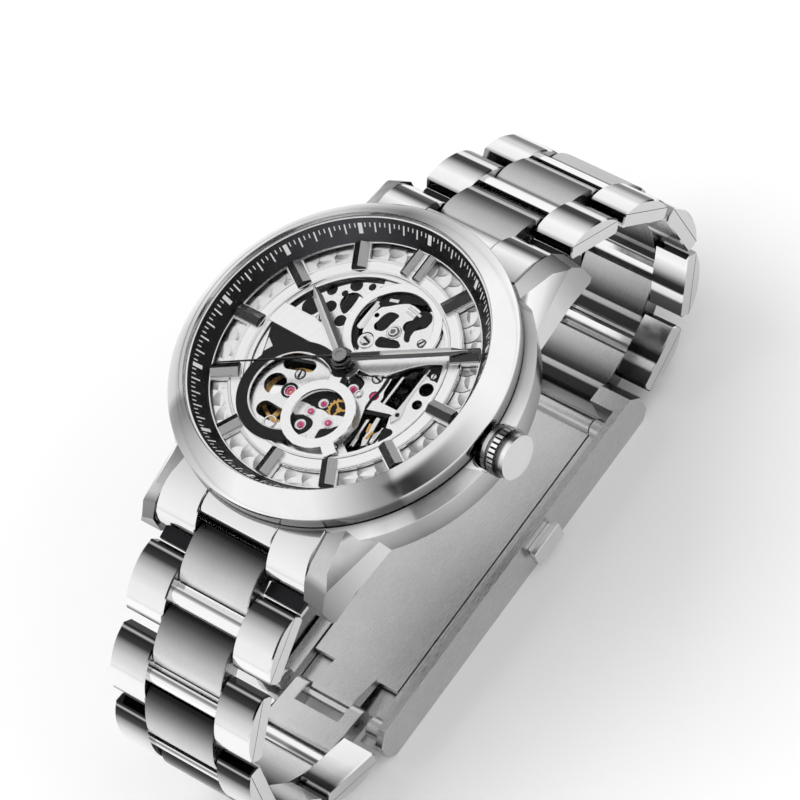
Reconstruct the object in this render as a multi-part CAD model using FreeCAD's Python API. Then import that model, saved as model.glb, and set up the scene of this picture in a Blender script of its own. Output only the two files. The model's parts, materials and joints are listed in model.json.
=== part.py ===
"""Open-worked automatic wristwatch on a steel link bracelet, standing on its closed clasp.

Millimetres. +Z is up, the dial faces +Z, 12 o'clock is +Y and the crown is +X.
The origin lies under the dial's centre, on the flat outer face of the clasp.
The head is drawn with its dial plate's top face at z = 0 and is then lifted by dial_height.
"""
import FreeCAD, Part
import math
import os

V = FreeCAD.Vector
AXIS_X = V(1, 0, 0)
AXIS_Y = V(0, 1, 0)
AXIS_Z = V(0, 0, 1)
ORIGIN = V(0, 0, 0)

# ---- case ----
case_radius = 20.9
case_wall = 2.6
case_bore = case_radius - case_wall
case_top = -1.0
case_shoulder = -2.8
case_bottom = -7.2
bezel_radius = case_radius - 0.8
bezel_width = 2.6
bezel_edge_top = 1.1
bezel_edge_bottom = -0.6
bezel_lip_top = 3.2
crystal_radius = bezel_radius - bezel_width
crystal_bottom = 2.4
crystal_thickness = 0.9
fit_gap = 0.05
lug_gap = 22.0
lug_gap_at_case = lug_gap - 2.4
lug_length = 3.4
lug_reach = case_radius + lug_length
lug_side = 14.4
lug_root = math.sqrt(case_radius ** 2 - lug_side ** 2) - 2.15
back_radius = case_radius - 1.3
back_thickness = 1.5
back_window_radius = back_radius - 5.0
back_glass_thickness = 0.5
spring_bar_radius = 0.7
spring_bar_inset = 2.4

# ---- dial: rings from the case inwards ----
dial_thickness = 0.35
dial_rim_radius = case_bore - 0.1
window_outer_radius = dial_rim_radius - 2.0
window_inner_radius = window_outer_radius - 2.7
dial_inner_radius = window_inner_radius - 1.8
spoke_width = 2.1
marker_inner = dial_inner_radius + 0.4
marker_outer = window_outer_radius - 0.7
marker_width = 1.8
marker_height = 0.75
marker_edge_height = 0.35
chapter_inner = window_outer_radius - 0.5
barrel_window = (2.1, 6.1)
barrel_window_inner = 4.7
barrel_window_outer = 5.75
small_window = (1.4, -6.6)
small_window_inner = 3.15
small_window_outer = 4.3
black_ring_centre = (-3.45, -5.6)
black_ring_inner = 4.8
black_ring_outer = 6.2
black_ring_thickness = 0.2
small_ring_thickness = 0.25
hub_radius = 1.9

# ---- hands, clockwise from 12 o'clock ----
hour_angle = 305.3
minute_angle = 64.0
second_angle = 240.0
hour_hand_length = 9.2
minute_hand_length = marker_outer - 0.1
second_hand_length = 14.5
second_tail = 4.6
hand_thickness = 0.2
hour_hand_base = 0.9
hand_step = 0.45
hour_pipe_radius = 0.75
minute_pipe_radius = 0.42
second_arbor_radius = 0.16

# ---- movement: levels below the dial plate's top face ----
plate_top = -0.55
plate_bottom = -1.35
bridge_top = -4.6
bridge_bottom = -5.4
plate_radius = case_bore - 0.1
pillar_reach = plate_radius - 3.0
facets = 12
rim_sides = 60
jewel_sides = 8
jewel_radius = 0.62
arbor_radius = 0.2
pivot_gap = 0.03
barrel_place = (2.25, 5.95)
barrel_top = -1.6
barrel_floor = -2.9
barrel_arbor_radius = 0.6
barrel_pivot_radius = 0.3
third_place = (5.2, -1.6)
escape_place = (0.3, -5.4)
pallet_place = (-1.6, -6.7)
balance_place = (-4.0, -5.4)
barrel_teeth = 60
centre_pinion_teeth = 10
centre_teeth = 48
third_pinion_teeth = 6
third_teeth = 45
fourth_pinion_teeth = 6
fourth_teeth = 60
escape_pinion_teeth = 6
escape_teeth = 15
escape_radius = 1.75
balance_radius = 3.6
roller_radius = 0.72
wheel_thickness = 0.2
rotor_radius = plate_radius - 1.4
rotor_top = -5.75
rotor_thickness = 0.3
rotor_weight_thickness = 1.1
rotor_post_radius = 1.0

# ---- openings of the main plate, at their real places under the open dial ----
plate_field = dial_inner_radius - 0.5
plate_field_slot = 0.45
barrel_slot = 1.1
click_ends = ((-1.85, 4.6), (-1.65, 8.2))
click_width = 0.7
plate_eyes = (((-8.5, 4.4), 1.15), ((-6.5, 5.3), 0.7), ((-7.6, 7.1), 0.6), ((-6.0, 7.5), 0.38),
              ((-5.4, 8.9), 0.75), ((-3.6, 9.6), 0.42), ((-4.5, 6.8), 1.4), ((-4.2, 4.3), 0.75),
              ((-0.9, 6.85), 0.3), ((-6.1, -5.4), 1.35), ((0.1, -8.1), 1.05),
              ((2.8, -8.2), 0.75), ((2.4, -5.6), 0.35), ((10.1, 1.7), 0.85), ((10.3, -0.3), 0.6))
plate_slots = (((0.2, 5.9), (0.8, 7.2), 0.65), ((3.4, 7.3), (4.6, 8.4), 0.75),
               ((1.6, 4.5), (3.3, 4.8), 0.45), ((-5.3, -8.5), (-3.4, -8.6), 0.95),
               ((-6.2, -2.6), (-3.8, -1.9), 0.75), ((0.3, -4.2), (1.9, -4.5), 0.7),
               ((2.2, -0.9), (2.7, -1.1), 0.6), ((4.0, -6.5), (4.1, -7.2), 0.3))
keyless_opening = ((5.9, -0.6), (5.7, 1.2), (7.0, 3.2), (8.9, 4.2), (8.9, -1.9), (6.3, -1.9))
lever_opening = ((5.2, -3.4), (8.3, -2.6), (8.9, -4.2), (9.9, -4.3), (9.2, -6.0), (7.0, -8.8),
                 (5.6, -7.9), (5.9, -5.5))

# ---- crown ----
crown_axis_height = -2.0
crown_radius = 2.85
crown_length = 3.0
crown_seat = case_radius - 0.5
crown_lobes = 30
stem_radius = 0.45
tube_radius = 0.9

# ---- bracelet ----
half_pitch = 4.83
link_headings = (28, 31, 38, 48, 65, 84, 105, 125, 144, 161, 174)
first_hinge_reach = lug_reach - 1.3
first_hinge_drop = 4.8
pin_radius = 0.5
hinge_gap = 0.04
centre_link_width = 10.0
centre_link_thickness = 2.6
side_gap = 0.12
outer_link_width = 21.4
outer_link_taper = 0.27
outer_link_thickness = 3.1
outer_link_overhang = 1.7
link_end_radius = 1.2
bar_length = 2.2
bar_thickness = 2.0

# ---- clasp ----
clasp_pin_height = 2.8
cover_width = 19.0
cover_plate = 0.9
cover_flange = 1.0
cover_height = 4.9
cover_overhang = 1.9
blade_rail_width = 1.8
blade_gap = 0.3
blade_floor = 0.35
inner_blade_thickness = 0.9
inner_end_width = 6.0
second_hinge_back = 3.6
second_hinge_height = 2.5
cradle_gap = 0.15
button_length = 4.0
button_height = 1.8
button_head = 0.8
button_place = 5.0


# ---------------------------------------------------------------- helpers
def box(x0, x1, y0, y1, z0, z1):
    return Part.makeBox(x1 - x0, y1 - y0, z1 - z0, V(x0, y0, z0))


def disc(radius, z0, z1, at=(0, 0)):
    return Part.makeCylinder(radius, z1 - z0, V(at[0], at[1], z0))


def rod_x(radius, x0, x1, y, z):
    return Part.makeCylinder(radius, x1 - x0, V(x0, y, z), AXIS_X)


def corners(radius, sides=facets):
    """Corner points of a regular polygon about the origin."""
    angles = [2 * math.pi * (i + 0.5) / sides for i in range(sides)]
    return [(radius * math.cos(a), radius * math.sin(a)) for a in angles]


def stud(radius, z0, z1, at=(0, 0), sides=facets):
    """A small round part, kept to a few flats inside its circle."""
    return plate([(at[0] + x, at[1] + y) for x, y in corners(radius, sides)], z0, z1)


def stud_hole(radius, z0, z1, at=(0, 0), sides=facets):
    """The hole for a round part: its flats stand outside the circle."""
    return stud(radius / math.cos(math.pi / sides), z0 - 1, z1 + 1, at, sides)


def pin_x(radius, x0, x1, y, z):
    """A hinge pin across the watch, kept to a few flats inside its circle."""
    return side_profile([(y + a, z + b) for a, b in corners(radius)], x0, x1)


def pin_hole_x(radius, x0, x1, y, z):
    """The bore for a pin of this radius: its flats stand outside the circle."""
    return pin_x(radius / math.cos(math.pi / facets), x0, x1, y, z)


def wire_of(points):
    return Part.makePolygon([V(*p) for p in points] + [V(*points[0])])


def revolved(points):
    """A solid turned about Z from (radius, height) points."""
    face = Part.Face(wire_of([(r, 0, z) for r, z in points]))
    return face.revolve(ORIGIN, AXIS_Z, 360)


def plate(points, z0, z1):
    """A flat plate with the (x, y) outline."""
    face = Part.Face(wire_of([(x, y, z0) for x, y in points]))
    return face.extrude(V(0, 0, z1 - z0))


def side_profile(points, x0, x1):
    """A prism across the watch with the (y, z) outline."""
    face = Part.Face(wire_of([(x0, y, z) for y, z in points]))
    return face.extrude(V(x1 - x0, 0, 0))


def polar(radius, clock_degrees):
    """A point on the dial at an angle clockwise from 12 o'clock."""
    a = math.radians(90 - clock_degrees)
    return (radius * math.cos(a), radius * math.sin(a))


def turned(shape, degrees, at=ORIGIN, axis=AXIS_Z):
    copy = shape.copy()
    copy.rotate(at, axis, degrees)
    return copy


def moved(shape, x=0, y=0, z=0):
    copy = shape.copy()
    copy.translate(V(x, y, z))
    return copy


def fused(shapes):
    shapes = list(shapes)
    whole = shapes[0]
    if len(shapes) > 1:
        whole = whole.fuse(shapes[1:])
    return whole.removeSplitter()


def bar_between(p, q, width, z0, z1):
    """A flat bar of the given width from p to q, square at both ends."""
    dx, dy = q[0] - p[0], q[1] - p[1]
    length = math.hypot(dx, dy)
    bar = box(0, length, -width / 2, width / 2, z0, z1)
    bar = turned(bar, math.degrees(math.atan2(dy, dx)))
    return moved(bar, p[0], p[1])


def distance(p, q):
    return math.hypot(p[0] - q[0], p[1] - q[1])


def save(name, *solids):
    """Write the solids of one node."""
    shape = solids[0] if len(solids) == 1 else Part.makeCompound(list(solids))
    shape.exportStep("parts/%s.step" % name)


def gear(teeth, pitch_radius, z0, z1, at=(0, 0), phase=0.0):
    """A wheel with pointed teeth; phase turns a tooth to that angle in degrees."""
    module = 2 * pitch_radius / teeth
    tip = pitch_radius + 0.9 * module
    root = pitch_radius - 1.15 * module
    step = 360.0 / teeth
    outline = []
    for i in range(teeth):
        middle = phase + i * step
        for radius, share in ((tip, 0.0), (root, 0.5)):
            a = math.radians(middle + share * step)
            outline.append((at[0] + radius * math.cos(a), at[1] + radius * math.sin(a)))
    return plate(outline, z0, z1)


def crossings(wheel, inner, outer, arms, arm_width, z0, z1, at, phase=0.0):
    """Cut the gaps between a wheel's arms."""
    gaps = stud(outer, z0 - 0.1, z1 + 0.1, at, 24).cut(stud(inner, z0 - 0.2, z1 + 0.2, at, 8))
    for i in range(arms):
        a = math.radians(phase + i * 360.0 / arms)
        end = (at[0] + outer * 1.1 * math.cos(a), at[1] + outer * 1.1 * math.sin(a))
        gaps = gaps.cut(bar_between(at, end, arm_width, z0 - 0.2, z1 + 0.2))
    return wheel.cut(gaps)


def arbor(at, top=plate_top - 0.25):
    """A shaft that runs in the jewels of the bridge and of the plate above it."""
    return disc(arbor_radius, bridge_bottom + 0.2, top, at)


# ---------------------------------------------------------------- bracelet layout
def chain():
    """Hinge points (y, z) of the +Y arm, from the end link down to the clasp pin."""
    drop = sum(math.sin(math.radians(h)) for h in link_headings) * half_pitch
    y, z = first_hinge_reach, clasp_pin_height + drop
    points = [(y, z)]
    for heading in link_headings:
        a = math.radians(heading)
        y += half_pitch * math.cos(a)
        z -= half_pitch * math.sin(a)
        points.append((y, z))
    return points


hinges = chain()
clasp_reach = hinges[-1][0]
dial_height = hinges[0][1] + first_hinge_drop


def lift(shape):
    """Raise a head piece from the dial's frame to its height above the clasp."""
    return moved(shape, z=dial_height)


# ---------------------------------------------------------------- case
def half_space(point, normal, size=25):
    """The block on the outer side of a plane."""
    block = Part.makeBox(2 * size, 2 * size, size, V(-size, -size, 0))
    block.Placement = FreeCAD.Placement(point, FreeCAD.Rotation(AXIS_Z, normal))
    return block


def lug(side_x, side_y):
    """One lug: a flat top strip that bends down to the tip, and a sloping flank outside it."""
    top = case_top - 0.1
    outline = [(lug_root, top), (lug_reach - 3.3, top - 0.9), (lug_reach - 1.2, top - 1.9)]
    outline += [(lug_reach, top - 3.7), (lug_reach, case_bottom - 0.2)]
    outline += [(lug_reach - 0.5, case_bottom - 0.6), (back_radius + 0.6, case_bottom)]
    outline.append((lug_root, case_bottom))
    body = side_profile(outline, 0, lug_side + 5)
    plan = plate([(lug_gap_at_case / 2, lug_root), (lug_side + 0.2, lug_root),
                  (lug_side - 0.4, lug_reach + 0.1), (lug_gap / 2, lug_reach + 0.1)], -12, 3)
    body = body.common(plan)
    strip_start = V(lug_side - 2.4, lug_root + 3.0, top - 0.3)
    strip_end = V(lug_side - 0.7, lug_reach - 2.3, top - 1.3)
    flank_low = V(lug_side + 0.05, lug_root + 2.2, case_shoulder - 1.4)
    flank = (flank_low - strip_start).cross(strip_end - strip_start)
    body = body.cut(half_space(strip_start, flank))
    if side_x < 0:
        body = body.mirror(ORIGIN, AXIS_X)
    if side_y < 0:
        body = body.mirror(ORIGIN, AXIS_Y)
    return body


def between_lugs(clearance, low=-12, high=3):
    """The room between one pair of lugs, narrower at the case than at the tips."""
    at_case = lug_gap_at_case / 2 - clearance
    tip = lug_gap / 2 - clearance
    lean = (tip - at_case) / (lug_reach - lug_root)
    far = lug_reach + 3
    return plate([(-at_case, lug_root), (at_case, lug_root),
                  (at_case + lean * (far - lug_root), far),
                  (-at_case - lean * (far - lug_root), far)], low, high)


def case_middle():
    profile = [(case_bore, case_top), (bezel_radius - 0.1, case_top)]
    profile += [(case_radius, case_shoulder), (case_radius - 0.7, case_bottom)]
    profile += [(case_bore, case_bottom)]
    lugs = [lug(sx, sy) for sx in (1, -1) for sy in (1, -1)]
    lugs = [piece.cut(disc(case_bore + 0.4, case_bottom - 3, 3)) for piece in lugs]
    body = fused([revolved(profile)] + lugs)
    bar_y, bar_z = spring_bar_place()
    half = lug_gap / 2 + 1.25
    for side in (1, -1):
        gap = between_lugs(0).cut(disc(bezel_radius + 0.1, -13, 4))
        if side < 0:
            gap = turned(gap, 180)
        body = body.cut(gap)
        body = body.cut(pin_x(spring_bar_radius, -half, half, side * bar_y, bar_z))
    seat = rod_x(crown_radius + 0.2, crown_seat, case_radius + 5, 0, crown_axis_height)
    body = body.cut(seat)
    body = body.cut(pin_x(tube_radius, case_bore - 1, case_radius + 5, 0, crown_axis_height))
    return [body, crown_tube()]


def crown_tube():
    """The tube pressed into the case that carries the crown."""
    tube = pin_x(tube_radius, case_bore - 0.1, crown_seat + 1.0, 0, crown_axis_height)
    return tube.cut(pin_hole_x(stem_radius + hinge_gap, case_bore - 1, case_radius + 3, 0,
                               crown_axis_height))


def bezel():
    seat = crystal_radius + fit_gap
    profile = [(seat, crystal_bottom), (seat, bezel_lip_top), (seat + 0.45, bezel_lip_top)]
    profile += [(bezel_radius - 0.75, bezel_edge_top + 0.85), (bezel_radius, bezel_edge_top)]
    profile += [(bezel_radius, bezel_edge_bottom), (bezel_radius - 0.6, case_top)]
    profile += [(dial_rim_radius + 0.1, case_top), (dial_rim_radius + 0.1, crystal_bottom)]
    return revolved(profile)


def crystal():
    return disc(crystal_radius, crystal_bottom, crystal_bottom + crystal_thickness)


def chapter_ring():
    return revolved([(chapter_inner, 0), (dial_rim_radius, 0), (dial_rim_radius, crystal_bottom),
                     (crystal_radius - 0.2, crystal_bottom)])


def case_back():
    """The screwed back: a ring with six key slots and a rebate for its window."""
    outer = back_radius
    low = case_bottom - back_thickness
    seat = back_window_radius + 0.8
    rebate = low + 0.4
    profile = [(back_window_radius, low), (outer - 1.2, low), (outer, case_bottom)]
    profile += [(seat, case_bottom), (seat, rebate), (back_window_radius, rebate)]
    body = revolved(profile)
    for i in range(6):
        x, y = polar(outer - 0.6, 30 + 60 * i)
        body = body.cut(turned(box(x - 0.9, x + 0.9, y - 0.8, y + 0.8, low - 1, low + 0.5),
                               -(30 + 60 * i), V(x, y, 0)))
    return body


def back_crystal():
    low = case_bottom - back_thickness + 0.4
    return disc(back_window_radius + 0.75, low, low + back_glass_thickness)


# ---------------------------------------------------------------- end links and spring bars
def spring_bar_place():
    """(y, z) of the bar in the lugs, below and inside the first hinge."""
    return (lug_reach - spring_bar_inset, case_bottom + 0.5)


def end_link(side):
    """A curved filler between the lugs, notched for the first centre link."""
    half = lug_gap / 2
    hinge_z = -first_hinge_drop
    back = bezel_radius + 0.2
    outline = [(lug_root, case_top - 0.3), (back + 0.6, case_top - 0.7)]
    outline += [(first_hinge_reach - 0.4, case_top - 1.9)]
    outline += [(first_hinge_reach + 1.0, hinge_z + 1.0), (first_hinge_reach + 1.0, hinge_z - 0.9)]
    outline += [(first_hinge_reach - 0.2, hinge_z - 2.7), (lug_root, hinge_z - 2.7)]
    body = side_profile(outline, -half, half).common(between_lugs(side_gap))
    body = body.cut(disc(back, case_bottom - 3, 3))
    notch = centre_link_width / 2 + side_gap
    room = first_hinge_reach - link_end_radius - 0.12
    body = body.cut(box(-notch, notch, room, first_hinge_reach + 3, -12, 3))
    bar_y, bar_z = spring_bar_place()
    body = body.cut(pin_hole_x(spring_bar_radius + hinge_gap, -half - 1, half + 1, bar_y, bar_z))
    body = body.cut(pin_x(pin_radius, -notch - 2.5, notch + 2.5, first_hinge_reach, hinge_z))
    return body if side > 0 else turned(body, 180)


def end_pin(side):
    half = centre_link_width / 2 + side_gap + 2.5
    pin = pin_x(pin_radius, -half, half, first_hinge_reach, -first_hinge_drop)
    return pin if side > 0 else turned(pin, 180)


def spring_bar(side):
    bar_y, bar_z = spring_bar_place()
    half = lug_gap / 2 + 1.25
    return pin_x(spring_bar_radius, -half, half, side * bar_y, bar_z)


# ---------------------------------------------------------------- bracelet links
def centre_link(bores=(0, half_pitch)):
    """A brushed centre link along +Y from the origin, rounded about both pins."""
    half = centre_link_width / 2
    t = centre_link_thickness / 2
    r = link_end_radius
    y1 = half_pitch
    edges = [Part.makePolygon([V(-half, 0, r), V(-half, 0.4, t), V(-half, y1 - 0.4, t),
                               V(-half, y1, r)])]
    edges.append(Part.Arc(V(-half, y1, r), V(-half, y1 + r, 0), V(-half, y1, -r)).toShape())
    edges.append(Part.makePolygon([V(-half, y1, -r), V(-half, 0, -r)]))
    edges.append(Part.Arc(V(-half, 0, -r), V(-half, -r, 0), V(-half, 0, r)).toShape())
    face = Part.Face(Part.Wire([edge for part in edges for edge in part.Edges]))
    body = face.extrude(V(centre_link_width, 0, 0))
    for y in bores:
        body = body.cut(pin_hole_x(pin_radius + hinge_gap, -half - 1, half + 1, y, 0))
    return body


def outer_link(width):
    """A polished H-shaped link: two domed side blocks, a bar between them and two pins."""
    half = width / 2
    inner = centre_link_width / 2 + side_gap
    t = outer_link_thickness / 2
    a = -outer_link_overhang
    b = half_pitch + outer_link_overhang
    outline = [(a, 0.3), (a + 0.6, t * 0.66), (a + 2.4, t * 0.95), (b - 2.4, t * 0.95)]
    outline += [(b - 0.6, t * 0.66), (b, 0.3), (b - 0.5, -t), (a + 0.5, -t)]
    middle = half_pitch / 2
    bar_t = bar_thickness / 2
    pieces = [box(-inner, inner, middle - bar_length / 2, middle + bar_length / 2, -bar_t, bar_t)]
    pieces += [side_profile(outline, inner, half), side_profile(outline, -half, -inner)]
    pieces += [pin_x(pin_radius, -inner, inner, y, 0) for y in (0, half_pitch)]
    return [fused(pieces)]


def fork_link():
    """The last link of the -Y arm: two ears and a pin that meet the clasp's inner blade."""
    half = centre_link_width / 2
    slot = inner_end_width / 2 + 0.2
    body = centre_link(bores=(0,))
    body = body.cut(box(-slot, slot, half_pitch - 2.0, half_pitch + 3, -3, 3))
    return [fused([body, pin_x(pin_radius, -half, half, half_pitch, 0)])]


def place_link(shape, index, side):
    """Turn a link to its heading and carry it to its hinge on the given side."""
    copy = turned(shape, -link_headings[index], ORIGIN, AXIS_X)
    copy.translate(V(0, hinges[index][0], hinges[index][1]))
    if side < 0:
        copy = turned(copy, 180)
    return copy


def outer_width(index):
    return outer_link_width - outer_link_taper * index


# ---------------------------------------------------------------- clasp
def cover_end():
    return clasp_reach + cover_overhang


def clasp_cover():
    half = cover_width / 2
    end = cover_end()
    bevel = 1.1
    outline = [(-end + bevel, 0), (end - bevel, 0), (end, bevel), (end, cover_height - 1.6)]
    outline += [(end - 1.4, cover_height), (-end + 1.4, cover_height), (-end, cover_height - 1.6)]
    outline += [(-end, bevel)]
    body = side_profile(outline, -half, half)
    room = half - cover_flange
    body = body.cut(box(-room, room, -end - 1, clasp_reach - 1.7, cover_plate, cover_height + 1))
    notch = centre_link_width / 2 + side_gap
    body = body.cut(box(-notch, notch, clasp_reach - 1.75, end + 1, -1, cover_height + 1))
    body = body.cut(box(-notch, notch, -end - 1, -clasp_reach + 1.5, -1, cover_height + 1))
    pin_z = clasp_pin_height
    body = body.cut(pin_x(pin_radius, -half + 1.2, half - 1.2, clasp_reach, pin_z))
    body = body.cut(pin_hole_x(pin_radius, -half - 1, half + 1, -clasp_reach, pin_z))
    for side in (1, -1):
        x0, x1 = sorted((side * (half - cover_flange - 0.5), side * (half + 1)))
        y0 = button_place - button_length / 2 - 0.05
        body = body.cut(box(x0, x1, y0, y0 + button_length + 0.1, 1.75, 1.85 + button_height))
    return body


def clasp_pins():
    """The pin of the +Y end and the two rivets of the -Y end."""
    half = cover_width / 2
    bar = pin_x(pin_radius, -half + 1.2, half - 1.2, clasp_reach, clasp_pin_height)
    rail_inner = half - cover_flange - blade_gap - blade_rail_width
    rivets = []
    for side in (1, -1):
        x0, x1 = sorted((side * (rail_inner + 0.1), side * half))
        rivets.append(rod_x(pin_radius, x0, x1, -clasp_reach, clasp_pin_height))
    return [bar] + rivets


def second_hinge():
    return (clasp_reach - second_hinge_back, second_hinge_height)


def outer_blade():
    """A channel with two rails, hinged in the cover's flanges and carrying the inner blade."""
    outer = cover_width / 2 - cover_flange - blade_gap
    inner = outer - blade_rail_width
    low = cover_plate + 0.12
    hinge_y, hinge_z = second_hinge()
    body = box(-outer, outer, -clasp_reach + 6, hinge_y - 2.5, low, low + blade_floor)
    pieces = [body]
    for side in (1, -1):
        x0, x1 = sorted((side * inner, side * outer))
        rail = box(x0, x1, -clasp_reach + 0.6, hinge_y, low, low + 1.5)
        eye = pin_x(1.25, x0, x1, -clasp_reach, clasp_pin_height)
        rail = rail.fuse([eye, pin_x(1.2, x0, x1, hinge_y, hinge_z)])
        rail = rail.cut(pin_hole_x(pin_radius + hinge_gap, x0 - 1, x1 + 1, -clasp_reach,
                                   clasp_pin_height))
        rail = rail.cut(box(x0 - 0.1, x1 + 0.1, -clasp_reach - 3, hinge_y + 3, -3, low))
        pieces.append(rail)
    whole = fused(pieces)
    pin = rod_x(pin_radius, -inner, inner, hinge_y, hinge_z)
    return [fused([whole, pin])]


def inner_blade():
    """A strap between the rails; its far end is an open cradle for the fork link's pin."""
    half = cover_width / 2 - cover_flange - blade_gap - blade_rail_width - 0.25
    hinge_y, hinge_z = second_hinge()
    low = cover_plate + 0.12 + blade_floor + 0.15
    end_half = inner_end_width / 2
    strap = box(-half, half, -clasp_reach + 5.0, hinge_y, low, low + inner_blade_thickness)
    eye = pin_x(1.0, -half, half, hinge_y, hinge_z)
    neck = side_profile([(-clasp_reach + 0.3, clasp_pin_height - 0.45),
                         (-clasp_reach + 1.2, clasp_pin_height - 0.9),
                         (-clasp_reach + 5.5, low), (-clasp_reach + 5.5, low + 0.9),
                         (-clasp_reach + 1.6, clasp_pin_height + 0.75),
                         (-clasp_reach + 0.3, clasp_pin_height + 0.45)], -end_half, end_half)
    whole = fused([strap, eye, neck])
    whole = whole.cut(rod_x(pin_radius + cradle_gap, -half - 1, half + 1, -clasp_reach,
                            clasp_pin_height))
    whole = whole.cut(box(-half - 1, half + 1, -clasp_reach - 3, -clasp_reach + 0.56, 0, 6))
    return whole.cut(pin_hole_x(pin_radius + hinge_gap, -half - 1, half + 1, hinge_y, hinge_z))


def push_button(side):
    half = cover_width / 2
    y0 = button_place - button_length / 2
    stem_in = half - cover_flange + 0.35
    x0, x1 = sorted((side * stem_in, side * (half + 0.65)))
    stem = box(x0, x1, y0, y0 + button_length, 1.8, 1.8 + button_height)
    x0, x1 = sorted((side * (half + 0.65), side * (half + 0.65 + button_head)))
    head = box(x0, x1, y0 - 0.4, y0 + button_length + 0.4, 1.5, 2.1 + button_height)
    return fused([stem, head])


# ---------------------------------------------------------------- dial
def dial_plate():
    z0, z1 = -dial_thickness, 0
    body = stud(dial_rim_radius, z0, z1, sides=60)
    body = body.cut(stud(dial_inner_radius, z0 - 1, z1 + 1, sides=60))
    windows = stud(window_outer_radius, z0 - 1, z1 + 1, sides=48)
    windows = windows.cut(stud(window_inner_radius, z0 - 2, z1 + 2, sides=48))
    for hour in range(12):
        end = polar(dial_rim_radius, 30 * hour)
        windows = windows.cut(bar_between((0, 0), end, spoke_width, z0 - 2, z1 + 2))
    body = body.cut(windows)
    pieces = [body, stud(barrel_window_outer, z0, z1, barrel_window, 36)]
    pieces.append(stud(hub_radius, z0, z1, sides=24))
    pieces.append(bar_between((0, 0), polar(barrel_window_inner + 0.2, 20), 1.6, z0, z1))
    pieces.append(bar_between((0, 0), polar(dial_inner_radius + 0.3, 62), 1.0, z0, z1))
    nine = [(-dial_inner_radius - 0.3, 0.3), (0, -0.6), (0, 1.0), (-dial_inner_radius - 0.3, 3.1)]
    pieces.append(plate(nine, z0, z1))
    whole = fused(pieces)
    inside = stud(barrel_window_inner, z0 - 1, z1 + 1, barrel_window, 36)
    arm = bar_between((0, 0), polar(barrel_window_inner + 0.2, 20), 1.6, z0 - 2, z1 + 2)
    inside = inside.cut(stud(hub_radius, z0 - 2, z1 + 2, sides=24)).cut(arm)
    return whole.cut(inside).cut(stud(1.25, z0 - 1, z1 + 1, sides=24))


def dial_black_ring():
    """The black ring round the balance, with the black ground beside the 9 o'clock arm."""
    z1 = black_ring_thickness
    body = stud(black_ring_outer, 0, z1, black_ring_centre, 36)
    zone = plate([(-9.4, -0.6), (-1.9, -0.9), (-0.9, -1.9), (-3.0, -2.2), (-8.6, -2.9)], 0, z1)
    body = fused([body, zone]).cut(stud(black_ring_inner, -1, z1 + 1, black_ring_centre, 36))
    body = body.common(stud(marker_inner - 0.1, -1, 2, sides=60))
    return body.cut(stud(hub_radius + 0.1, -1, 2, sides=24))


def dial_small_ring():
    z0 = black_ring_thickness
    z1 = z0 + small_ring_thickness
    body = stud(small_window_outer, z0, z1, small_window, 32)
    body = body.cut(stud(small_window_inner, z0 - 1, z1 + 1, small_window, 32))
    spoke = bar_between(small_window, polar(dial_inner_radius, 150), 1.5, 0, z1)
    spoke = spoke.cut(stud(small_window_outer - 0.3, -1, z1 + 1, small_window, 32))
    foot = bar_between(small_window, (0.2, -1.0), 1.4, z0, z1)
    foot = foot.cut(stud(small_window_outer - 0.3, -1, z1 + 1, small_window, 32))
    return fused([body, spoke, foot]).cut(stud(hub_radius + 0.1, -1, 2, sides=24))


def marker(width, inner, outer):
    """A baton with a ridge along its middle, lying along +Y."""
    half = width / 2
    top, edge = marker_height, marker_edge_height
    section = [(-half, inner, 0), (half, inner, 0), (half, inner, edge), (0, inner, top)]
    section.append((-half, inner, edge))
    return Part.Face(wire_of(section)).extrude(V(0, outer - inner, 0))


def hour_markers():
    batons = []
    for hour in range(1, 12):
        batons.append(turned(marker(marker_width, marker_inner, marker_outer), -30 * hour))
    for side in (1, -1):
        batons.append(moved(marker(1.15, marker_inner, marker_outer), side * 0.85))
    return batons


# ---------------------------------------------------------------- hands
def pencil_hand(length, width, base, hub, clock_degrees, bore):
    half = width / 2
    top = base + hand_thickness
    outline = [(-half, 0), (half, 0), (half * 0.9, length - 2.0), (0, length)]
    outline.append((-half * 0.9, length - 2.0))
    body = fused([plate(outline, base, top), stud(hub, base, top + 0.12, sides=18)])
    return turned(body.cut(stud_hole(bore, base, top)), -clock_degrees)


def hour_hand():
    return pencil_hand(hour_hand_length, 1.5, hour_hand_base, 1.35, hour_angle, hour_pipe_radius)


def minute_hand():
    base = hour_hand_base + hand_step
    return pencil_hand(minute_hand_length, 1.3, base, 1.2, minute_angle, minute_pipe_radius)


def second_hand():
    base = hour_hand_base + 2 * hand_step
    blade = plate([(-0.22, -second_tail), (0.22, -second_tail), (0.1, second_hand_length),
                   (-0.1, second_hand_length)], base, base + 0.15)
    body = fused([blade, stud(0.85, base, base + 0.3, sides=18)])
    body = body.cut(stud(second_arbor_radius + 0.01, base - 1, base + 0.2))
    return turned(body, -second_angle)


# ---------------------------------------------------------------- movement
def slot(p, q, radius, z0, z1):
    """A long hole with round ends at p and q."""
    ends = [stud(radius, z0, z1, p, 16)]
    if p != q:
        ends += [stud(radius, z0, z1, q, 16), bar_between(p, q, 2 * radius, z0, z1)]
    return fused(ends)


def arc_slot(at, inner, outer, start, end, z0, z1):
    """A bent hole between two radii and two clock angles about a point."""
    middle = (start + end) / 2
    wedge = plate([(0, 0), polar(3 * outer, start), polar(3 * outer, middle),
                   polar(3 * outer, end)], z0, z1)
    ring = stud(outer, z0, z1, sides=36).cut(stud(inner, z0 - 1, z1 + 1, sides=36))
    return moved(ring.common(wedge), at[0], at[1])


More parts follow.
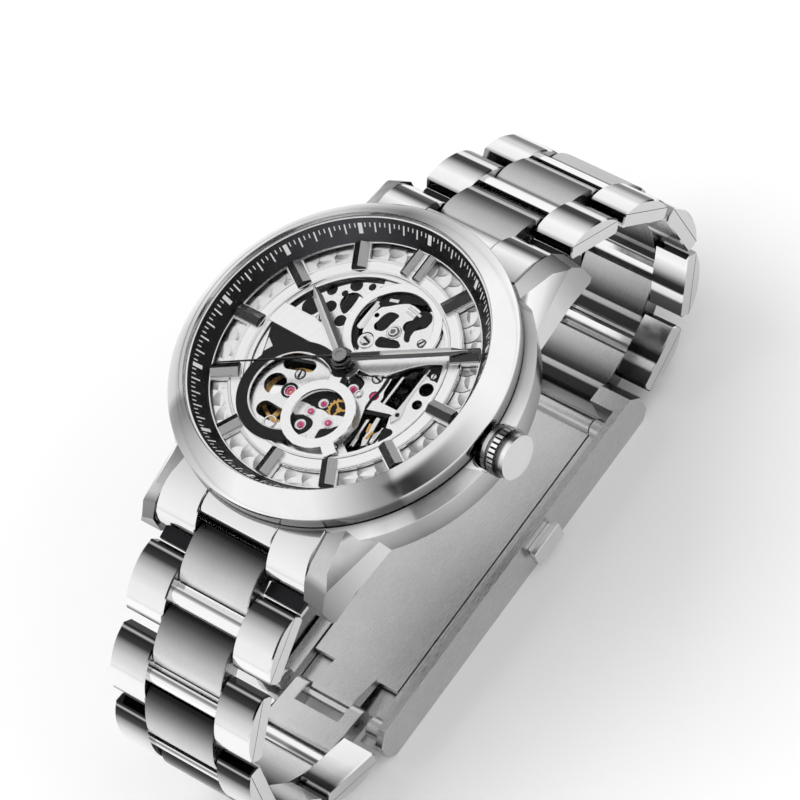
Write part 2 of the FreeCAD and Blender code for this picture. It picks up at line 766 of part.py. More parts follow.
def plate_holes(z0, z1):
    """The openings that show the barrel, the balance, the train and the keyless work."""
    holes = [slot(p, q, radius, z0, z1) for p, q, radius in plate_slots]
    holes += [slot(at, at, radius, z0, z1) for at, radius in plate_eyes]
    holes.append(arc_slot((0, 0), plate_field - plate_field_slot, plate_field, 288, 346, z0, z1))
    holes.append(arc_slot(barrel_window, barrel_window_inner - barrel_slot, barrel_window_inner,
                          230, 392, z0, z1))
    holes.append(plate(keyless_opening, z0, z1))
    holes.append(plate(lever_opening, z0, z1))
    return fused(holes)


def main_plate():
    """The open-worked plate under the dial, with a boss at each bearing."""
    z0, z1 = plate_bottom, plate_top
    body = stud(plate_radius, z0, z1, sides=rim_sides)
    body = body.cut(plate_holes(z0 - 1, z1 + 1))
    bosses = [stud(radius, z0, z1, place)
              for place, radius in ((barrel_place, 0.95), (balance_place, 1.0),
                                    (third_place, 1.1), (escape_place, 0.85))]
    click = bar_between(click_ends[0], click_ends[1], click_width, z0, z1)
    body = fused([body, click] + bosses)
    for place in (third_place, escape_place, balance_place):
        body = body.cut(stud(jewel_radius, z0 - 1, z1 + 1, place, jewel_sides))
    body = body.cut(stud_hole(barrel_arbor_radius + pivot_gap, z0, z1, barrel_place))
    body = body.cut(stud(0.9, z0 - 1, z1 + 1))
    feet = [stud(0.6, z1, -dial_thickness, polar(dial_rim_radius - 1.0, 45 + 90 * i))
            for i in range(4)]
    return [body] + feet + pallet_bridge()


def pallet_bridge():
    """A small bridge under the balance that holds the upper pivot of the pallet fork."""
    foot = (-0.9, -9.2)
    z1 = escape_level() + 0.92
    z0 = z1 - 0.3
    body = fused([bar_between(pallet_place, foot, 0.9, z0, z1), stud(0.7, z0, z1, pallet_place),
                  stud(0.7, z0, plate_bottom, foot)])
    return [body.cut(stud(0.42, z0 - 1, z1 + 1, pallet_place, jewel_sides))]


def jewels():
    """Drilled stones: one at each end of each arbor."""
    stones = []
    upper = [(place, plate_bottom, plate_top - 0.15, jewel_radius)
             for place in (third_place, escape_place, balance_place)]
    top = escape_level() + 0.92
    upper.append((pallet_place, top - 0.3, top, 0.42))
    lower = [(place, bridge_bottom + 0.15, bridge_top, jewel_radius)
             for place in (third_place, escape_place, balance_place, pallet_place)]
    for place, z0, z1, radius in upper + lower:
        stone = stud(radius, z0, z1, place, jewel_sides)
        bore = stud_hole(arbor_radius + pivot_gap, z0, z1, place, jewel_sides)
        stones.append(stone.cut(bore))
    return stones


def train_bridge():
    """The three-quarter bridge over the barrel and the train, on the back of the movement."""
    z0, z1 = bridge_bottom, bridge_top
    body = stud(plate_radius - 1.0, z0, z1, sides=rim_sides)
    cock_room = [(-20, -1.2), (-2.6, -2.4), (-0.6, -4.2), (-0.6, -20), (-20, -20)]
    body = body.cut(plate(cock_room, z0 - 1, z1 + 1))
    for inner, outer, start, end in ((6.8, 14.2, 100, 138), (8.2, 14.6, 296, 346)):
        area = stud(outer, z0 - 1, z1 + 1, (0, 0), 36).cut(stud(inner, z0 - 2, z1 + 2, (0, 0), 36))
        wedge = plate([(0, 0), polar(30, start), polar(30, end)], z0 - 2, z1 + 2)
        body = body.cut(area.common(wedge))
    for place in (third_place, escape_place):
        body = body.cut(stud(jewel_radius, z0 - 1, z1 + 1, place, jewel_sides))
    body = body.cut(stud_hole(barrel_pivot_radius + pivot_gap, z0, z1, barrel_place))
    body = body.cut(stud_hole(second_arbor_radius + pivot_gap, z0, z1, (0, 0)))
    posts = [stud(1.3, bridge_top, plate_bottom, spot) for spot in pillar_spots()]
    return [body] + posts + [rotor_bearing()]


def pillar_spots():
    """Places of the posts that hold the bridge off the main plate."""
    return [polar(pillar_reach, clock) for clock in (20, 118, 165, 290)]


def cock_foot():
    return polar(pillar_reach, 232)


def balance_cock():
    """The cock that holds the lower pivots of the balance and of the pallet fork."""
    z0, z1 = bridge_bottom, bridge_top
    foot = cock_foot()
    arm = fused([bar_between(balance_place, foot, 2.6, z0, z1), stud(1.3, z0, z1, balance_place),
                 stud(2.2, z0, z1, foot), stud(0.85, z0, z1, pallet_place),
                 bar_between(pallet_place, balance_place, 1.0, z0, z1)])
    for place in (balance_place, pallet_place):
        arm = arm.cut(stud(jewel_radius, z0 - 1, z1 + 1, place, jewel_sides))
    return [arm, stud(1.5, z1, plate_bottom, foot)]


def bridge_screws():
    """Slotted screws on the back of the bridge and of the cock."""
    screws = []
    low = bridge_bottom - 0.25
    for place in pillar_spots() + [cock_foot()]:
        slot = bar_between((place[0] - 1, place[1]), (place[0] + 1, place[1]), 0.2, low - 1,
                           low + 0.12)
        screws.append(stud(0.8, low, bridge_bottom, place).cut(slot))
    return screws


def gap_phase(teeth, towards):
    """Phase that points the gap between two teeth towards a meshing wheel."""
    return towards + 180.0 / teeth


def bearing_angle(p, q):
    return math.degrees(math.atan2(q[1] - p[1], q[0] - p[0]))


def barrel():
    """The mainspring's drum with its toothed rim and its arbor."""
    z0, z1 = barrel_floor, barrel_top
    pitch = barrel_pitch()
    towards = bearing_angle(barrel_place, (0, 0))
    wheel = gear(barrel_teeth, pitch, z0, z0 + 0.3, barrel_place, towards)
    drum = stud(pitch - 0.6, z0 + 0.3, z1, barrel_place, 40)
    drum = crossings(drum, 1.5, pitch - 1.3, 3, 1.2, z1 - 0.3, z1, barrel_place, 20)
    axle = [disc(barrel_arbor_radius, z1, plate_top, barrel_place)]
    axle.append(disc(barrel_pivot_radius, bridge_bottom + 0.1, z0, barrel_place))
    return fused([wheel, drum] + axle)


def centre_wheel():
    """Hollow: the fourth wheel's arbor runs through it, and its pipe carries the minute hand."""
    reach = distance(third_place, (0, 0))
    pitch = reach * centre_teeth / (centre_teeth + third_pinion_teeth)
    z1 = barrel_floor - 0.15
    wheel = gear(centre_teeth, pitch, z1 - wheel_thickness, z1, (0, 0),
                 bearing_angle((0, 0), third_place))
    wheel = crossings(wheel, 1.1, pitch - 0.75, 4, 0.5, z1 - wheel_thickness, z1, (0, 0), 15)
    pinion = gear(centre_pinion_teeth, distance(barrel_place, (0, 0)) - barrel_pitch(), z1,
                  barrel_floor + 0.4, (0, 0),
                  gap_phase(centre_pinion_teeth, bearing_angle((0, 0), barrel_place)))
    pipe = disc(minute_pipe_radius, barrel_floor + 0.4, hour_hand_base + hand_step + 0.3)
    body = fused([wheel, pinion, pipe])
    return body.cut(stud_hole(second_arbor_radius + hinge_gap, -8, 4))


def barrel_pitch():
    reach = distance(barrel_place, (0, 0))
    return reach * barrel_teeth / (barrel_teeth + centre_pinion_teeth)


def third_wheel():
    """Pinion driven by the centre wheel, wheel driving the fourth pinion."""
    reach = distance(third_place, (0, 0))
    towards = bearing_angle(third_place, (0, 0))
    top = barrel_floor - 0.05
    pinion = gear(third_pinion_teeth,
                  reach * third_pinion_teeth / (centre_teeth + third_pinion_teeth),
                  top - 0.4, top, third_place, gap_phase(third_pinion_teeth, towards))
    pitch = reach * third_teeth / (third_teeth + fourth_pinion_teeth)
    z1 = third_level()
    wheel = gear(third_teeth, pitch, z1 - wheel_thickness, z1, third_place, towards)
    wheel = crossings(wheel, 0.9, pitch - 0.75, 4, 0.5, z1 - wheel_thickness, z1, third_place, 40)
    return fused([pinion, wheel, arbor(third_place)])


def third_level():
    return barrel_floor - 0.8


def fourth_wheel():
    """The seconds wheel at the centre; its long arbor carries the seconds hand."""
    reach = distance(third_place, (0, 0))
    z1 = third_level() + 0.1
    pinion = gear(fourth_pinion_teeth,
                  reach * fourth_pinion_teeth / (third_teeth + fourth_pinion_teeth),
                  z1 - 0.4, z1, (0, 0),
                  gap_phase(fourth_pinion_teeth, bearing_angle((0, 0), third_place)))
    reach = distance(escape_place, (0, 0))
    pitch = reach * fourth_teeth / (fourth_teeth + escape_pinion_teeth)
    top = fourth_level()
    wheel = gear(fourth_teeth, pitch, top - wheel_thickness, top, (0, 0),
                 bearing_angle((0, 0), escape_place))
    wheel = crossings(wheel, 0.9, pitch - 0.7, 4, 0.45, top - wheel_thickness, top, (0, 0), 60)
    shaft = disc(second_arbor_radius, bridge_bottom + 0.1, hour_hand_base + 2 * hand_step + 0.2)
    hub = stud(0.35, top - wheel_thickness - 0.1, z1)
    return fused([pinion, wheel, shaft, hub])


def fourth_level():
    return barrel_floor - 1.28


def escape_wheel():
    """Fifteen hooked teeth and the pinion that the fourth wheel drives."""
    reach = distance(escape_place, (0, 0))
    top = fourth_level() + 0.05
    pinion = gear(escape_pinion_teeth,
                  reach * escape_pinion_teeth / (fourth_teeth + escape_pinion_teeth),
                  top - 0.3, top, escape_place,
                  gap_phase(escape_pinion_teeth, bearing_angle(escape_place, (0, 0))))
    outline = []
    step = 360.0 / escape_teeth
    for i in range(escape_teeth):
        for radius, share in ((escape_radius - 0.45, 0.0), (escape_radius, 0.42),
                              (escape_radius - 0.12, 0.55), (escape_radius - 0.45, 0.45)):
            a = math.radians((i + share) * step)
            outline.append((escape_place[0] + radius * math.cos(a),
                            escape_place[1] + radius * math.sin(a)))
    z1 = escape_level()
    wheel = plate(outline, z1 - wheel_thickness, z1)
    wheel = crossings(wheel, 0.5, escape_radius - 0.7, 4, 0.25, z1 - wheel_thickness, z1,
                      escape_place, 10)
    return fused([pinion, wheel, arbor(escape_place)])


def escape_level():
    return barrel_floor - 0.47


def pallet_fork():
    """Two pallet arms, a lever towards the balance, and its arbor."""
    z1 = escape_level()
    z0 = z1 - wheel_thickness
    to_escape = bearing_angle(pallet_place, escape_place)
    pieces = [stud(0.4, z0, z1, pallet_place)]
    clear = escape_radius + 0.05
    for turn in (48, -48):
        a = math.radians(to_escape + 180 + turn)
        place = (escape_place[0] + (clear + 0.25) * math.cos(a),
                 escape_place[1] + (clear + 0.25) * math.sin(a))
        pieces.append(bar_between(pallet_place, place, 0.34, z0, z1))
    a = math.radians(bearing_angle(pallet_place, balance_place))
    reach = distance(pallet_place, balance_place) - roller_radius - 0.2
    tip = (pallet_place[0] + reach * math.cos(a), pallet_place[1] + reach * math.sin(a))
    pieces.append(bar_between(pallet_place, tip, 0.3, z0, z1))
    body = fused(pieces).cut(stud(clear, z0 - 1, z1 + 1, escape_place, 24))
    return fused([body, arbor(pallet_place, escape_level() + 0.85)])


def balance_wheel():
    """A three-armed rim with timing screws, its roller and its staff."""
    z1 = plate_bottom - 0.35
    z0 = z1 - 0.4
    rim = stud(balance_radius, z0, z1, balance_place, 40)
    rim = rim.cut(stud(balance_radius - 0.42, z0 - 1, z1 + 1, balance_place, 40))
    pieces = [rim, stud(0.7, z0, z1, balance_place), arbor(balance_place)]
    pieces.append(stud(roller_radius, escape_level() + 0.1, escape_level() + 0.35, balance_place))
    for i in range(3):
        a = math.radians(20 + 120 * i)
        end = (balance_place[0] + (balance_radius - 0.2) * math.cos(a),
               balance_place[1] + (balance_radius - 0.2) * math.sin(a))
        pieces.append(bar_between(balance_place, end, 0.5, z0 + 0.1, z1 - 0.05))
    for i in range(8):
        a = math.radians(20 + 22.5 + 45 * i)
        near, far = balance_radius - 0.1, balance_radius + 0.28
        pieces.append(bar_between((balance_place[0] + near * math.cos(a),
                                   balance_place[1] + near * math.sin(a)),
                                  (balance_place[0] + far * math.cos(a),
                                   balance_place[1] + far * math.sin(a)), 0.3, z0 + 0.05,
                                  z1 - 0.05))
    return fused(pieces)


def hairspring():
    """A flat spiral from the collet on the staff outwards."""
    z0 = plate_bottom - 1.05
    turns, start, pitch, width, steps_per_turn = 3, 0.55, 0.5, 0.1, 12
    steps = steps_per_turn * turns
    outer, inner = [], []
    for i in range(steps + 1):
        a = 2 * math.pi * i / steps_per_turn
        r = start + pitch * i / steps_per_turn
        for edge, side in ((outer, 0.5), (inner, -0.5)):
            edge.append((balance_place[0] + (r + side * width) * math.cos(a),
                         balance_place[1] + (r + side * width) * math.sin(a)))
    spiral = plate(outer + inner[::-1], z0, z0 + 0.2)
    collet = stud(start, z0, z0 + 0.22, balance_place)
    return fused([spiral, collet]).cut(disc(arbor_radius, z0 - 1, z0 + 1, balance_place))


def hour_wheel():
    """Motion-work wheel and pipe that turn once in twelve hours under the hour hand."""
    wheel = gear(24, 1.55, -dial_thickness - 0.17, -dial_thickness - 0.02)
    pipe = stud(hour_pipe_radius, -dial_thickness - 0.17, hour_hand_base + 0.25)
    return fused([wheel, pipe]).cut(stud_hole(minute_pipe_radius + hinge_gap, -2, 4))


def rotor():
    """The half-round winding weight, open between its arms, on the middle of the back."""
    z1 = rotor_top
    z0 = z1 - rotor_thickness
    front = 0.9
    body = stud(rotor_radius, z0, z1, sides=rim_sides)
    body = body.cut(box(-30, 30, front, 30, z1 - 2, z1 + 1))
    low = z1 - rotor_weight_thickness
    weight = stud(rotor_radius, low, z0, sides=rim_sides)
    weight = weight.cut(stud(rotor_radius - 3.2, low - 1, z0 + 1, sides=rim_sides))
    weight = weight.cut(box(-30, 30, 0.0, 30, z1 - 3, z1 + 1))
    for i in range(3):
        area = stud(rotor_radius - 4.2, z1 - 2, z1 + 2, (0, 0), 36)
        area = area.cut(stud(4.6, z1 - 3, z1 + 3, (0, 0), 24))
        wedge = plate([(0, 0), polar(30, 112 + 50 * i), polar(30, 148 + 50 * i)], z1 - 3, z1 + 3)
        body = body.cut(area.common(wedge))
    whole = fused([body, weight, stud(2.2, z0 - 0.25, z1)])
    return whole.cut(disc(rotor_post_radius + hinge_gap, z1 - 3, z1 + 3))


def rotor_bearing():
    """The rotor's bearing post on the middle of the train bridge."""
    low = rotor_top - rotor_thickness - 0.45
    return fused([disc(rotor_post_radius, low, bridge_bottom), stud(1.5, low - 0.15, low)])


def crown():
    """A knurled crown: narrow inner knurl, groove, lobed grip and a bare polished cap."""
    x0 = crown_seat + 0.25
    lobes = []
    for i in range(crown_lobes):
        for share, radius in ((-0.3, crown_radius), (0.3, crown_radius),
                              (0.5, crown_radius - 0.22)):
            a = 2 * math.pi * (i + share) / crown_lobes
            lobes.append((radius * math.cos(a), radius * math.sin(a)))
    core = crown_radius - 0.25
    pieces = [side_profile(lobes, x0 + 0.95, x0 + 1.8)]
    pieces.append(side_profile([(y * 0.96, z * 0.96) for y, z in lobes[::3]], x0, x0 + 0.5))
    pieces.append(rod_x(core, x0 + 0.4, x0 + crown_length, 0, 0))
    body = fused(pieces)
    body = body.cut(pin_hole_x(tube_radius + hinge_gap, x0 - 1, x0 + 1.2, 0, 0))
    body = body.cut(pin_hole_x(stem_radius, x0 - 1, x0 + 2.0, 0, 0))
    return moved(body, z=crown_axis_height)


def stem_inner_end():
    return plate_radius - 7.7


def winding_stem():
    """The stem from the crown into the movement, necked for its lever."""
    end = stem_inner_end()
    z = crown_axis_height
    neck = pin_x(stem_radius * 0.6, end + 4.0, end + 4.6, 0, z)
    return fused([rod_x(stem_radius, end + 4.6, crown_seat + 2.25, 0, z), neck,
                  pin_x(stem_radius, end, end + 4.0, 0, z)])


def setting_lever():
    """The lever whose fork sits in the stem's neck and slides with it."""
    x = stem_inner_end() + 4.3
    z = crown_axis_height
    body = box(x - 0.2, x + 0.2, 0.33, 2.6, z - 0.3, z + 0.3)
    fork = box(x - 0.2, x + 0.2, -0.25, 0.4, z - 0.6, z - 0.33)
    riser = box(x - 0.2, x + 0.2, 0.33, 0.6, z - 0.6, z)
    return fused([body, fork, riser])


# ---------------------------------------------------------------- write every node
def write_bracelet():
    last = len(link_headings) - 1
    for side, name in ((1, "upper"), (-1, "lower")):
        for index in range(last + 1):
            if index % 2 == 1:
                solids = outer_link(outer_width(index))
            elif index == last and side < 0:
                solids = fork_link()
            else:
                solids = [centre_link()]
            solids = [place_link(solid, index, side) for solid in solids]
            save("%s_link_%02d" % (name, index + 1), *solids)


def write_clasp():
    save("clasp_cover", clasp_cover(), *clasp_pins())
    save("clasp_outer_blade", *outer_blade())
    save("clasp_inner_blade", inner_blade())
    save("push_button_right", push_button(1))
    save("push_button_left", push_button(-1))


def write_head():
    single = (bezel, crystal, chapter_ring, case_back, back_crystal, dial_plate, dial_black_ring,
              dial_small_ring, hour_hand, minute_hand, second_hand, barrel, centre_wheel,
              third_wheel, fourth_wheel, escape_wheel, pallet_fork, balance_wheel, hairspring,
              hour_wheel, rotor, crown, winding_stem, setting_lever)
    for make in single:
        save(make.__name__, lift(make()))
    groups = (case_middle, hour_markers, main_plate, jewels, train_bridge, balance_cock,
              bridge_screws)
    for make in groups:
        save(make.__name__, *[lift(solid) for solid in make()])
    save("end_links", *[lift(make(side)) for side in (1, -1) for make in (end_link, end_pin)])
    save("spring_bars", *[lift(spring_bar(side)) for side in (1, -1)])


os.makedirs("parts", exist_ok=True)
write_bracelet()
write_clasp()
write_head()
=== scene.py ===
"""Looks of the open-worked wristwatch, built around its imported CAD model.

Metres, in the CAD frame: +Z out of the dial, +Y towards 12 o'clock, +X towards the crown.
Pieces are drawn in millimetres from the dial plate's centre and placed by its height.
"""
import json
import math
import random

import bmesh
import bpy
from mathutils import Matrix, Vector

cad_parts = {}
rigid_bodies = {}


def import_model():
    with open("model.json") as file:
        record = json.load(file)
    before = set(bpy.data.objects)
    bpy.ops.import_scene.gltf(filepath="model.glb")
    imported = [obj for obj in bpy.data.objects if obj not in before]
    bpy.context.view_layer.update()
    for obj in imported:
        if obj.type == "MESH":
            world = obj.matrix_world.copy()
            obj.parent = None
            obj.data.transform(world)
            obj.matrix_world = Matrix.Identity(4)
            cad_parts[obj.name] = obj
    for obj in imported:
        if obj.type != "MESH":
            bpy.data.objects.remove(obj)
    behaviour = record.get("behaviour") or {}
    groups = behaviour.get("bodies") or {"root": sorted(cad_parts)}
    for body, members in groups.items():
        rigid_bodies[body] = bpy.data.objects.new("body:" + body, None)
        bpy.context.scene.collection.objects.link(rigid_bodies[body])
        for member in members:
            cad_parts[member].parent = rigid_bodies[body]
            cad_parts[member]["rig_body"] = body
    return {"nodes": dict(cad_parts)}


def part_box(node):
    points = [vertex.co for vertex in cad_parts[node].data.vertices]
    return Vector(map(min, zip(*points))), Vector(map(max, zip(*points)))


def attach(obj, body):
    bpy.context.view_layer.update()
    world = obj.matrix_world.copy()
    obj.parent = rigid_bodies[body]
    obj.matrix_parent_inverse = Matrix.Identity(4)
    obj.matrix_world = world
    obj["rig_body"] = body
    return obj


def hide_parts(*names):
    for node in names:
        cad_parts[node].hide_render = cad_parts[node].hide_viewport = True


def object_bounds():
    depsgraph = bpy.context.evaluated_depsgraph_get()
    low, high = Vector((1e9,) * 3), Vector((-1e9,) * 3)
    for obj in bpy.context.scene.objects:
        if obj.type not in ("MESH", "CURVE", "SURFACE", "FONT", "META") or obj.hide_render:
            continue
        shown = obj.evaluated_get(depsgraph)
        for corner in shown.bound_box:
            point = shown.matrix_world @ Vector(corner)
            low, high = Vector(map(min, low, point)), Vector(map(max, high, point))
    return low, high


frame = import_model()
cad_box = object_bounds()
nodes = frame["nodes"]

MM = 0.001

# ---- camera and light ----
camera_azimuth = 62.73
camera_elevation = 53.41
camera_roll = -30.46
camera_distance = 0.5817
camera_lens = 243.4
aim_beside_dial = (8.54, -0.85)
watch_middle = Vector((0, 0, 0.03))

world_fill = 0.75
floor_fill = 0.7
floor_half = 3.0
lamp_distance = 0.8
# name, azimuth, elevation, size in metres, power
studio_lamps = (("key", 300, 62, (0.6, 0.6), 2.2), ("fill", 110, 40, (0.5, 0.4), 0.8))
# name, centre in mm, width, height, grey, share of the fade at left, right, bottom and top
studio_cards = (("card_right", (430, -70, 200), 520, 600, 0.04, (0.03, 0.8, 0.3, 0.3)),
                ("card_left", (-420, 60, 200), 420, 380, 0.5, (0.4, 0.4, 0.4, 0.4)))

# ---- levels and radii of the head, in mm from the dial plate's top ----
dial_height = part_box("dial_plate")[1].z / MM
dial_low = -0.35
plate_top = -0.55
crown_axis = -2.55
crown_end = 23.0
drum_axis = -2.0
chapter_inner = 15.7
chapter_outer = 17.3
chapter_top = 2.4
rail_inner = 11.7


# ---- node trees ----
def rgba(level):
    return (level, level, level, 1)


def tune(thing, **settings):
    for key, value in settings.items():
        setattr(thing, key, value)
    return thing


class Tree:
    """A short way to write the nodes of a new material, or of the world."""

    def __init__(self, owner=None):
        self.owner = owner or bpy.data.materials.new("finish")
        self.owner.use_nodes = True
        self.nodes = self.owner.node_tree.nodes
        self.shader = self.nodes.get("Principled BSDF")

    def feed(self, value, socket):
        """Set a socket to a number or colour, or join it to an output."""
        if isinstance(value, bpy.types.NodeSocket):
            self.owner.node_tree.links.new(value, socket)
        else:
            socket.default_value = value

    def node(self, kind, inputs=None, **settings):
        """A new node with its settings; inputs are given by name or number."""
        made = tune(self.nodes.new("ShaderNode" + kind), **settings)
        for key, value in (inputs or {}).items():
            self.feed(value, made.inputs[key])
        return made

    def out(self, kind, inputs=None, **settings):
        """The first output of a new node."""
        return self.node(kind, inputs, **settings).outputs[0]

    def set(self, **values):
        for key, value in values.items():
            self.feed(value, self.shader.inputs[key.replace("_", " ")])

    def math(self, operation, *values):
        return self.out("Math", dict(enumerate(values)), operation=operation)

    def split(self, vector):
        """The x, y and z of a vector."""
        return self.node("SeparateXYZ", {0: vector}).outputs

    def radius(self, x, y):
        squares = self.math("MULTIPLY", x, x), self.math("MULTIPLY", y, y)
        return self.math("SQRT", self.math("ADD", *squares))

    def turn(self, x, y):
        """The angle of x over y as a share of a full turn."""
        turns = self.math("DIVIDE", self.math("ARCTAN2", x, y), 2 * math.pi)
        return self.math("FRACT", self.math("ADD", turns, 1.0))

    def position(self, stretch=(1, 1, 1)):
        """Object coordinates in millimetres, stretched."""
        where = self.node("TexCoord").outputs["Object"]
        return self.out("Mapping", {"Vector": where, "Scale": [s / MM for s in stretch]})

    def noise(self, stretch, detail, roughness=0.6):
        """Noise by place, stretched evenly or by axis, or over a vector of its own."""
        if isinstance(stretch, (int, float)):
            stretch = (stretch,) * 3
        where = self.position(stretch) if isinstance(stretch, tuple) else stretch
        return self.out("TexNoise", {"Vector": where, "Scale": 1.0, "Detail": detail,
                                     "Roughness": roughness})

    def span(self, value, low, high, start=0.3, end=0.7):
        """Map a value between start and end onto low to high."""
        return self.out("MapRange", {"Value": value, "From Min": start, "From Max": end,
                                     "To Min": low, "To Max": high})

    def ramp(self, value, *stops):
        """Colour by value: stops are (place, grey level or colour)."""
        ramp = self.node("ValToRGB", {"Fac": value})
        elements = ramp.color_ramp.elements
        elements[0].position, elements[1].position = stops[0][0], stops[-1][0]
        for place, _ in stops[1:-1]:
            elements.new(place)
        for element, (_, colour) in zip(elements, stops):
            element.color = (*colour, 1) if isinstance(colour, tuple) else rgba(colour)
        return ramp.outputs["Color"]

    def place(self, kind):
        """A share from 0 to 1 by place round, across or down the watch, or along a link."""
        if kind == "along":
            return self.split(self.out("UVMap", uv_map="along"))[1]
        x, y, z = self.split(self.position())
        if kind == "clock":
            return self.turn(x, y)
        if kind == "crown":
            return self.turn(self.math("SUBTRACT", z, dial_height + crown_axis), y)
        if kind == "lengthwise":
            return self.span(y, 0.0, 1.0, -24.4, 24.4)
        if kind == "reach":
            return self.span(x, 0.0, 1.0, 20.0, 23.7)
        drop = self.math("SUBTRACT", dial_height, z)
        if kind == "rim":
            return self.span(drop, 0.0, 1.0, -3.2, 0.9)
        if kind == "slant":
            away = self.math("MULTIPLY", self.math("ABSOLUTE", y), 0.22)
            return self.span(self.math("ADD", drop, away), 0.0, 1.0, 5.4, 10.4)
        return self.span(drop, 0.0, 1.0, 0.9, 7.3)

    def paint_light(self, colour, painted_bands):
        """A colour made lighter and darker by place: painted reflections and shade; a band is (kind
        of place, *stops).
        """
        for kind, *stops in painted_bands:
            levels = self.ramp(self.place(kind), *stops)
            colour = self.out("VectorMath", {0: colour, 1: levels}, operation="MULTIPLY")
        return colour

    def bump(self, height, depth, strength=1.0):
        """Relief with a depth in millimetres."""
        self.set(Normal=self.out("Bump", {"Strength": strength, "Distance": depth * MM,
                                          "Height": height}))

    def veil(self, share, clear, over):
        """Light passes straight through, but for the share that another shader takes."""
        clear = self.out("BsdfTransparent", {"Color": rgba(clear)})
        mixed = self.out("MixShader", {0: share, 1: clear, 2: over})
        self.feed(mixed, self.nodes["Material Output"].inputs["Surface"])
        self.nodes.remove(self.shader)

    def studio_white(self, fill):
        """White to the camera, metal and glass; the grey fill to what lights surfaces."""
        path = self.node("LightPath").outputs
        seen = path["Is Camera Ray"]
        for ray in ("Is Glossy Ray", "Is Transmission Ray"):
            seen = self.math("MAXIMUM", seen, path[ray])
        return self.node("Mix", {0: seen, 6: rgba(fill), 7: rgba(1)}, data_type="RGBA").outputs[2]


def polished(level, roughness, *painted_bands):
    """Mirror steel with faint hairlines and a slightly uneven polish, and painted reflections and
    shade by place if bands are given.
    """
    t = Tree()
    cloud = t.noise(0.35, 3)
    t.set(Metallic=1.0, Roughness=t.span(cloud, roughness * 0.7, roughness * 1.5))
    t.set(Base_Color=t.paint_light(t.ramp(cloud, (0.35, level * 0.97), (0.65, level)), painted_bands))
    t.bump(t.noise(14, 6, 0.75), 0.00006)
    return t.owner


def brushed(level, along, *painted_bands, roughness=0.27, depth=0.004):
    """Steel with a straight grain, drawn out along it, and painted reflections and shade by place
    if bands are given.
    """
    t = Tree()
    grain = t.noise(along, 5, 0.7)
    t.set(Metallic=1.0, Roughness=t.span(grain, roughness * 0.75, roughness * 1.3))
    patch = t.math("MULTIPLY", t.noise(0.3, 2), 0.2)
    tone = t.math("ADD", t.math("MULTIPLY", grain, 0.8), patch)
    colour = t.ramp(tone, (0.32, level * 0.86), (0.68, min(0.98, level * 1.1)))
    t.set(Base_Color=t.paint_light(colour, painted_bands))
    t.bump(grain, depth, 0.7)
    return t.owner


def circular(level, rings=22.0, roughness=0.24):
    """Steel turned on a lathe: grain in rings round the dial's axis."""
    t = Tree()
    x, y, z = t.split(t.position())
    across = t.math("MULTIPLY", t.radius(x, y), rings)
    grain = t.noise(t.out("CombineXYZ", {0: across, 1: t.math("MULTIPLY", z, 2.0)}), 4, 0.7)
    t.set(Metallic=1.0, Roughness=t.span(grain, roughness * 0.8, roughness * 1.25))
    t.set(Base_Color=t.ramp(grain, (0.3, level * 0.9), (0.7, min(0.98, level * 1.07))))
    t.bump(grain, 0.003, 0.6)
    return t.owner


def coated(colour, roughness, depth=0.004, gloss=0.3, *painted_bands):
    """Lacquer or print: fine orange peel under a low sheen, and painted reflections by place if
    bands are given.
    """
    t = Tree()
    peel = t.noise(9, 3)
    base = t.ramp(peel, (0.3, tuple(c * 0.8 for c in colour)), (0.7, colour))
    t.set(Base_Color=t.paint_light(base, painted_bands), Specular_IOR_Level=gloss)
    t.set(Roughness=t.span(peel, roughness * 0.85, roughness * 1.2))
    t.bump(peel, depth, 0.5)
    return t.owner


def tinted_metal(colour, roughness):
    """Gilt, blued or dark metal with a satin surface."""
    t = Tree()
    cloud = t.noise(8, 5, 0.65)
    low = tuple(c * 0.78 for c in colour)
    t.set(Metallic=1.0, Base_Color=t.ramp(cloud, (0.3, low), (0.7, colour)))
    t.set(Roughness=t.span(cloud, roughness * 0.8, roughness * 1.3))
    t.bump(cloud, 0.003, 0.5)
    return t.owner


def ruby():
    """Pink synthetic ruby."""
    t = Tree()
    t.set(Base_Color=t.ramp(t.noise(2.5, 3), (0.3, (0.42, 0.01, 0.10)), (0.7, (0.72, 0.04, 0.22))))
    t.set(Roughness=0.08, IOR=1.76, Coat_Weight=0.6, Coat_Roughness=0.03)
    return t.owner


def sapphire():
    """Clear crystal: only a weak reflection shows on it, and light passes straight through."""
    t = Tree()
    edge = t.out("Fresnel", {"IOR": 1.08})
    gloss = t.out("BsdfGlossy", {"Roughness": t.span(t.noise(0.4, 2), 0.008, 0.02)})
    t.veil(t.math("MINIMUM", edge, 0.2), 0.985, gloss)
    return t.owner


def perlage():
    """Round brushed spots with fine rings; the light and dark sector of each spot is a painted
    reflection of its turned grain.
    """
    t = Tree()
    x, y, _ = t.split(t.out("UVMap", uv_map="spots"))
    painted_sheen = t.math("SINE", t.math("ADD", t.math("ARCTAN2", y, x), 0.5))
    radius = t.radius(x, y)
    rings = t.math("SINE", t.math("MULTIPLY", radius, 50.0))
    tone = t.math("MULTIPLY", t.math("MULTIPLY", painted_sheen, radius), 0.45)
    for part, weight in ((t.noise(0.5, 3), 0.7), (rings, 0.02)):
        tone = t.math("ADD", tone, t.math("MULTIPLY", part, weight))
    t.set(Metallic=1.0, Roughness=0.28)
    t.set(Base_Color=t.ramp(tone, (0.0, 0.28), (0.22, 0.54), (0.42, 0.86)))
    return t.owner
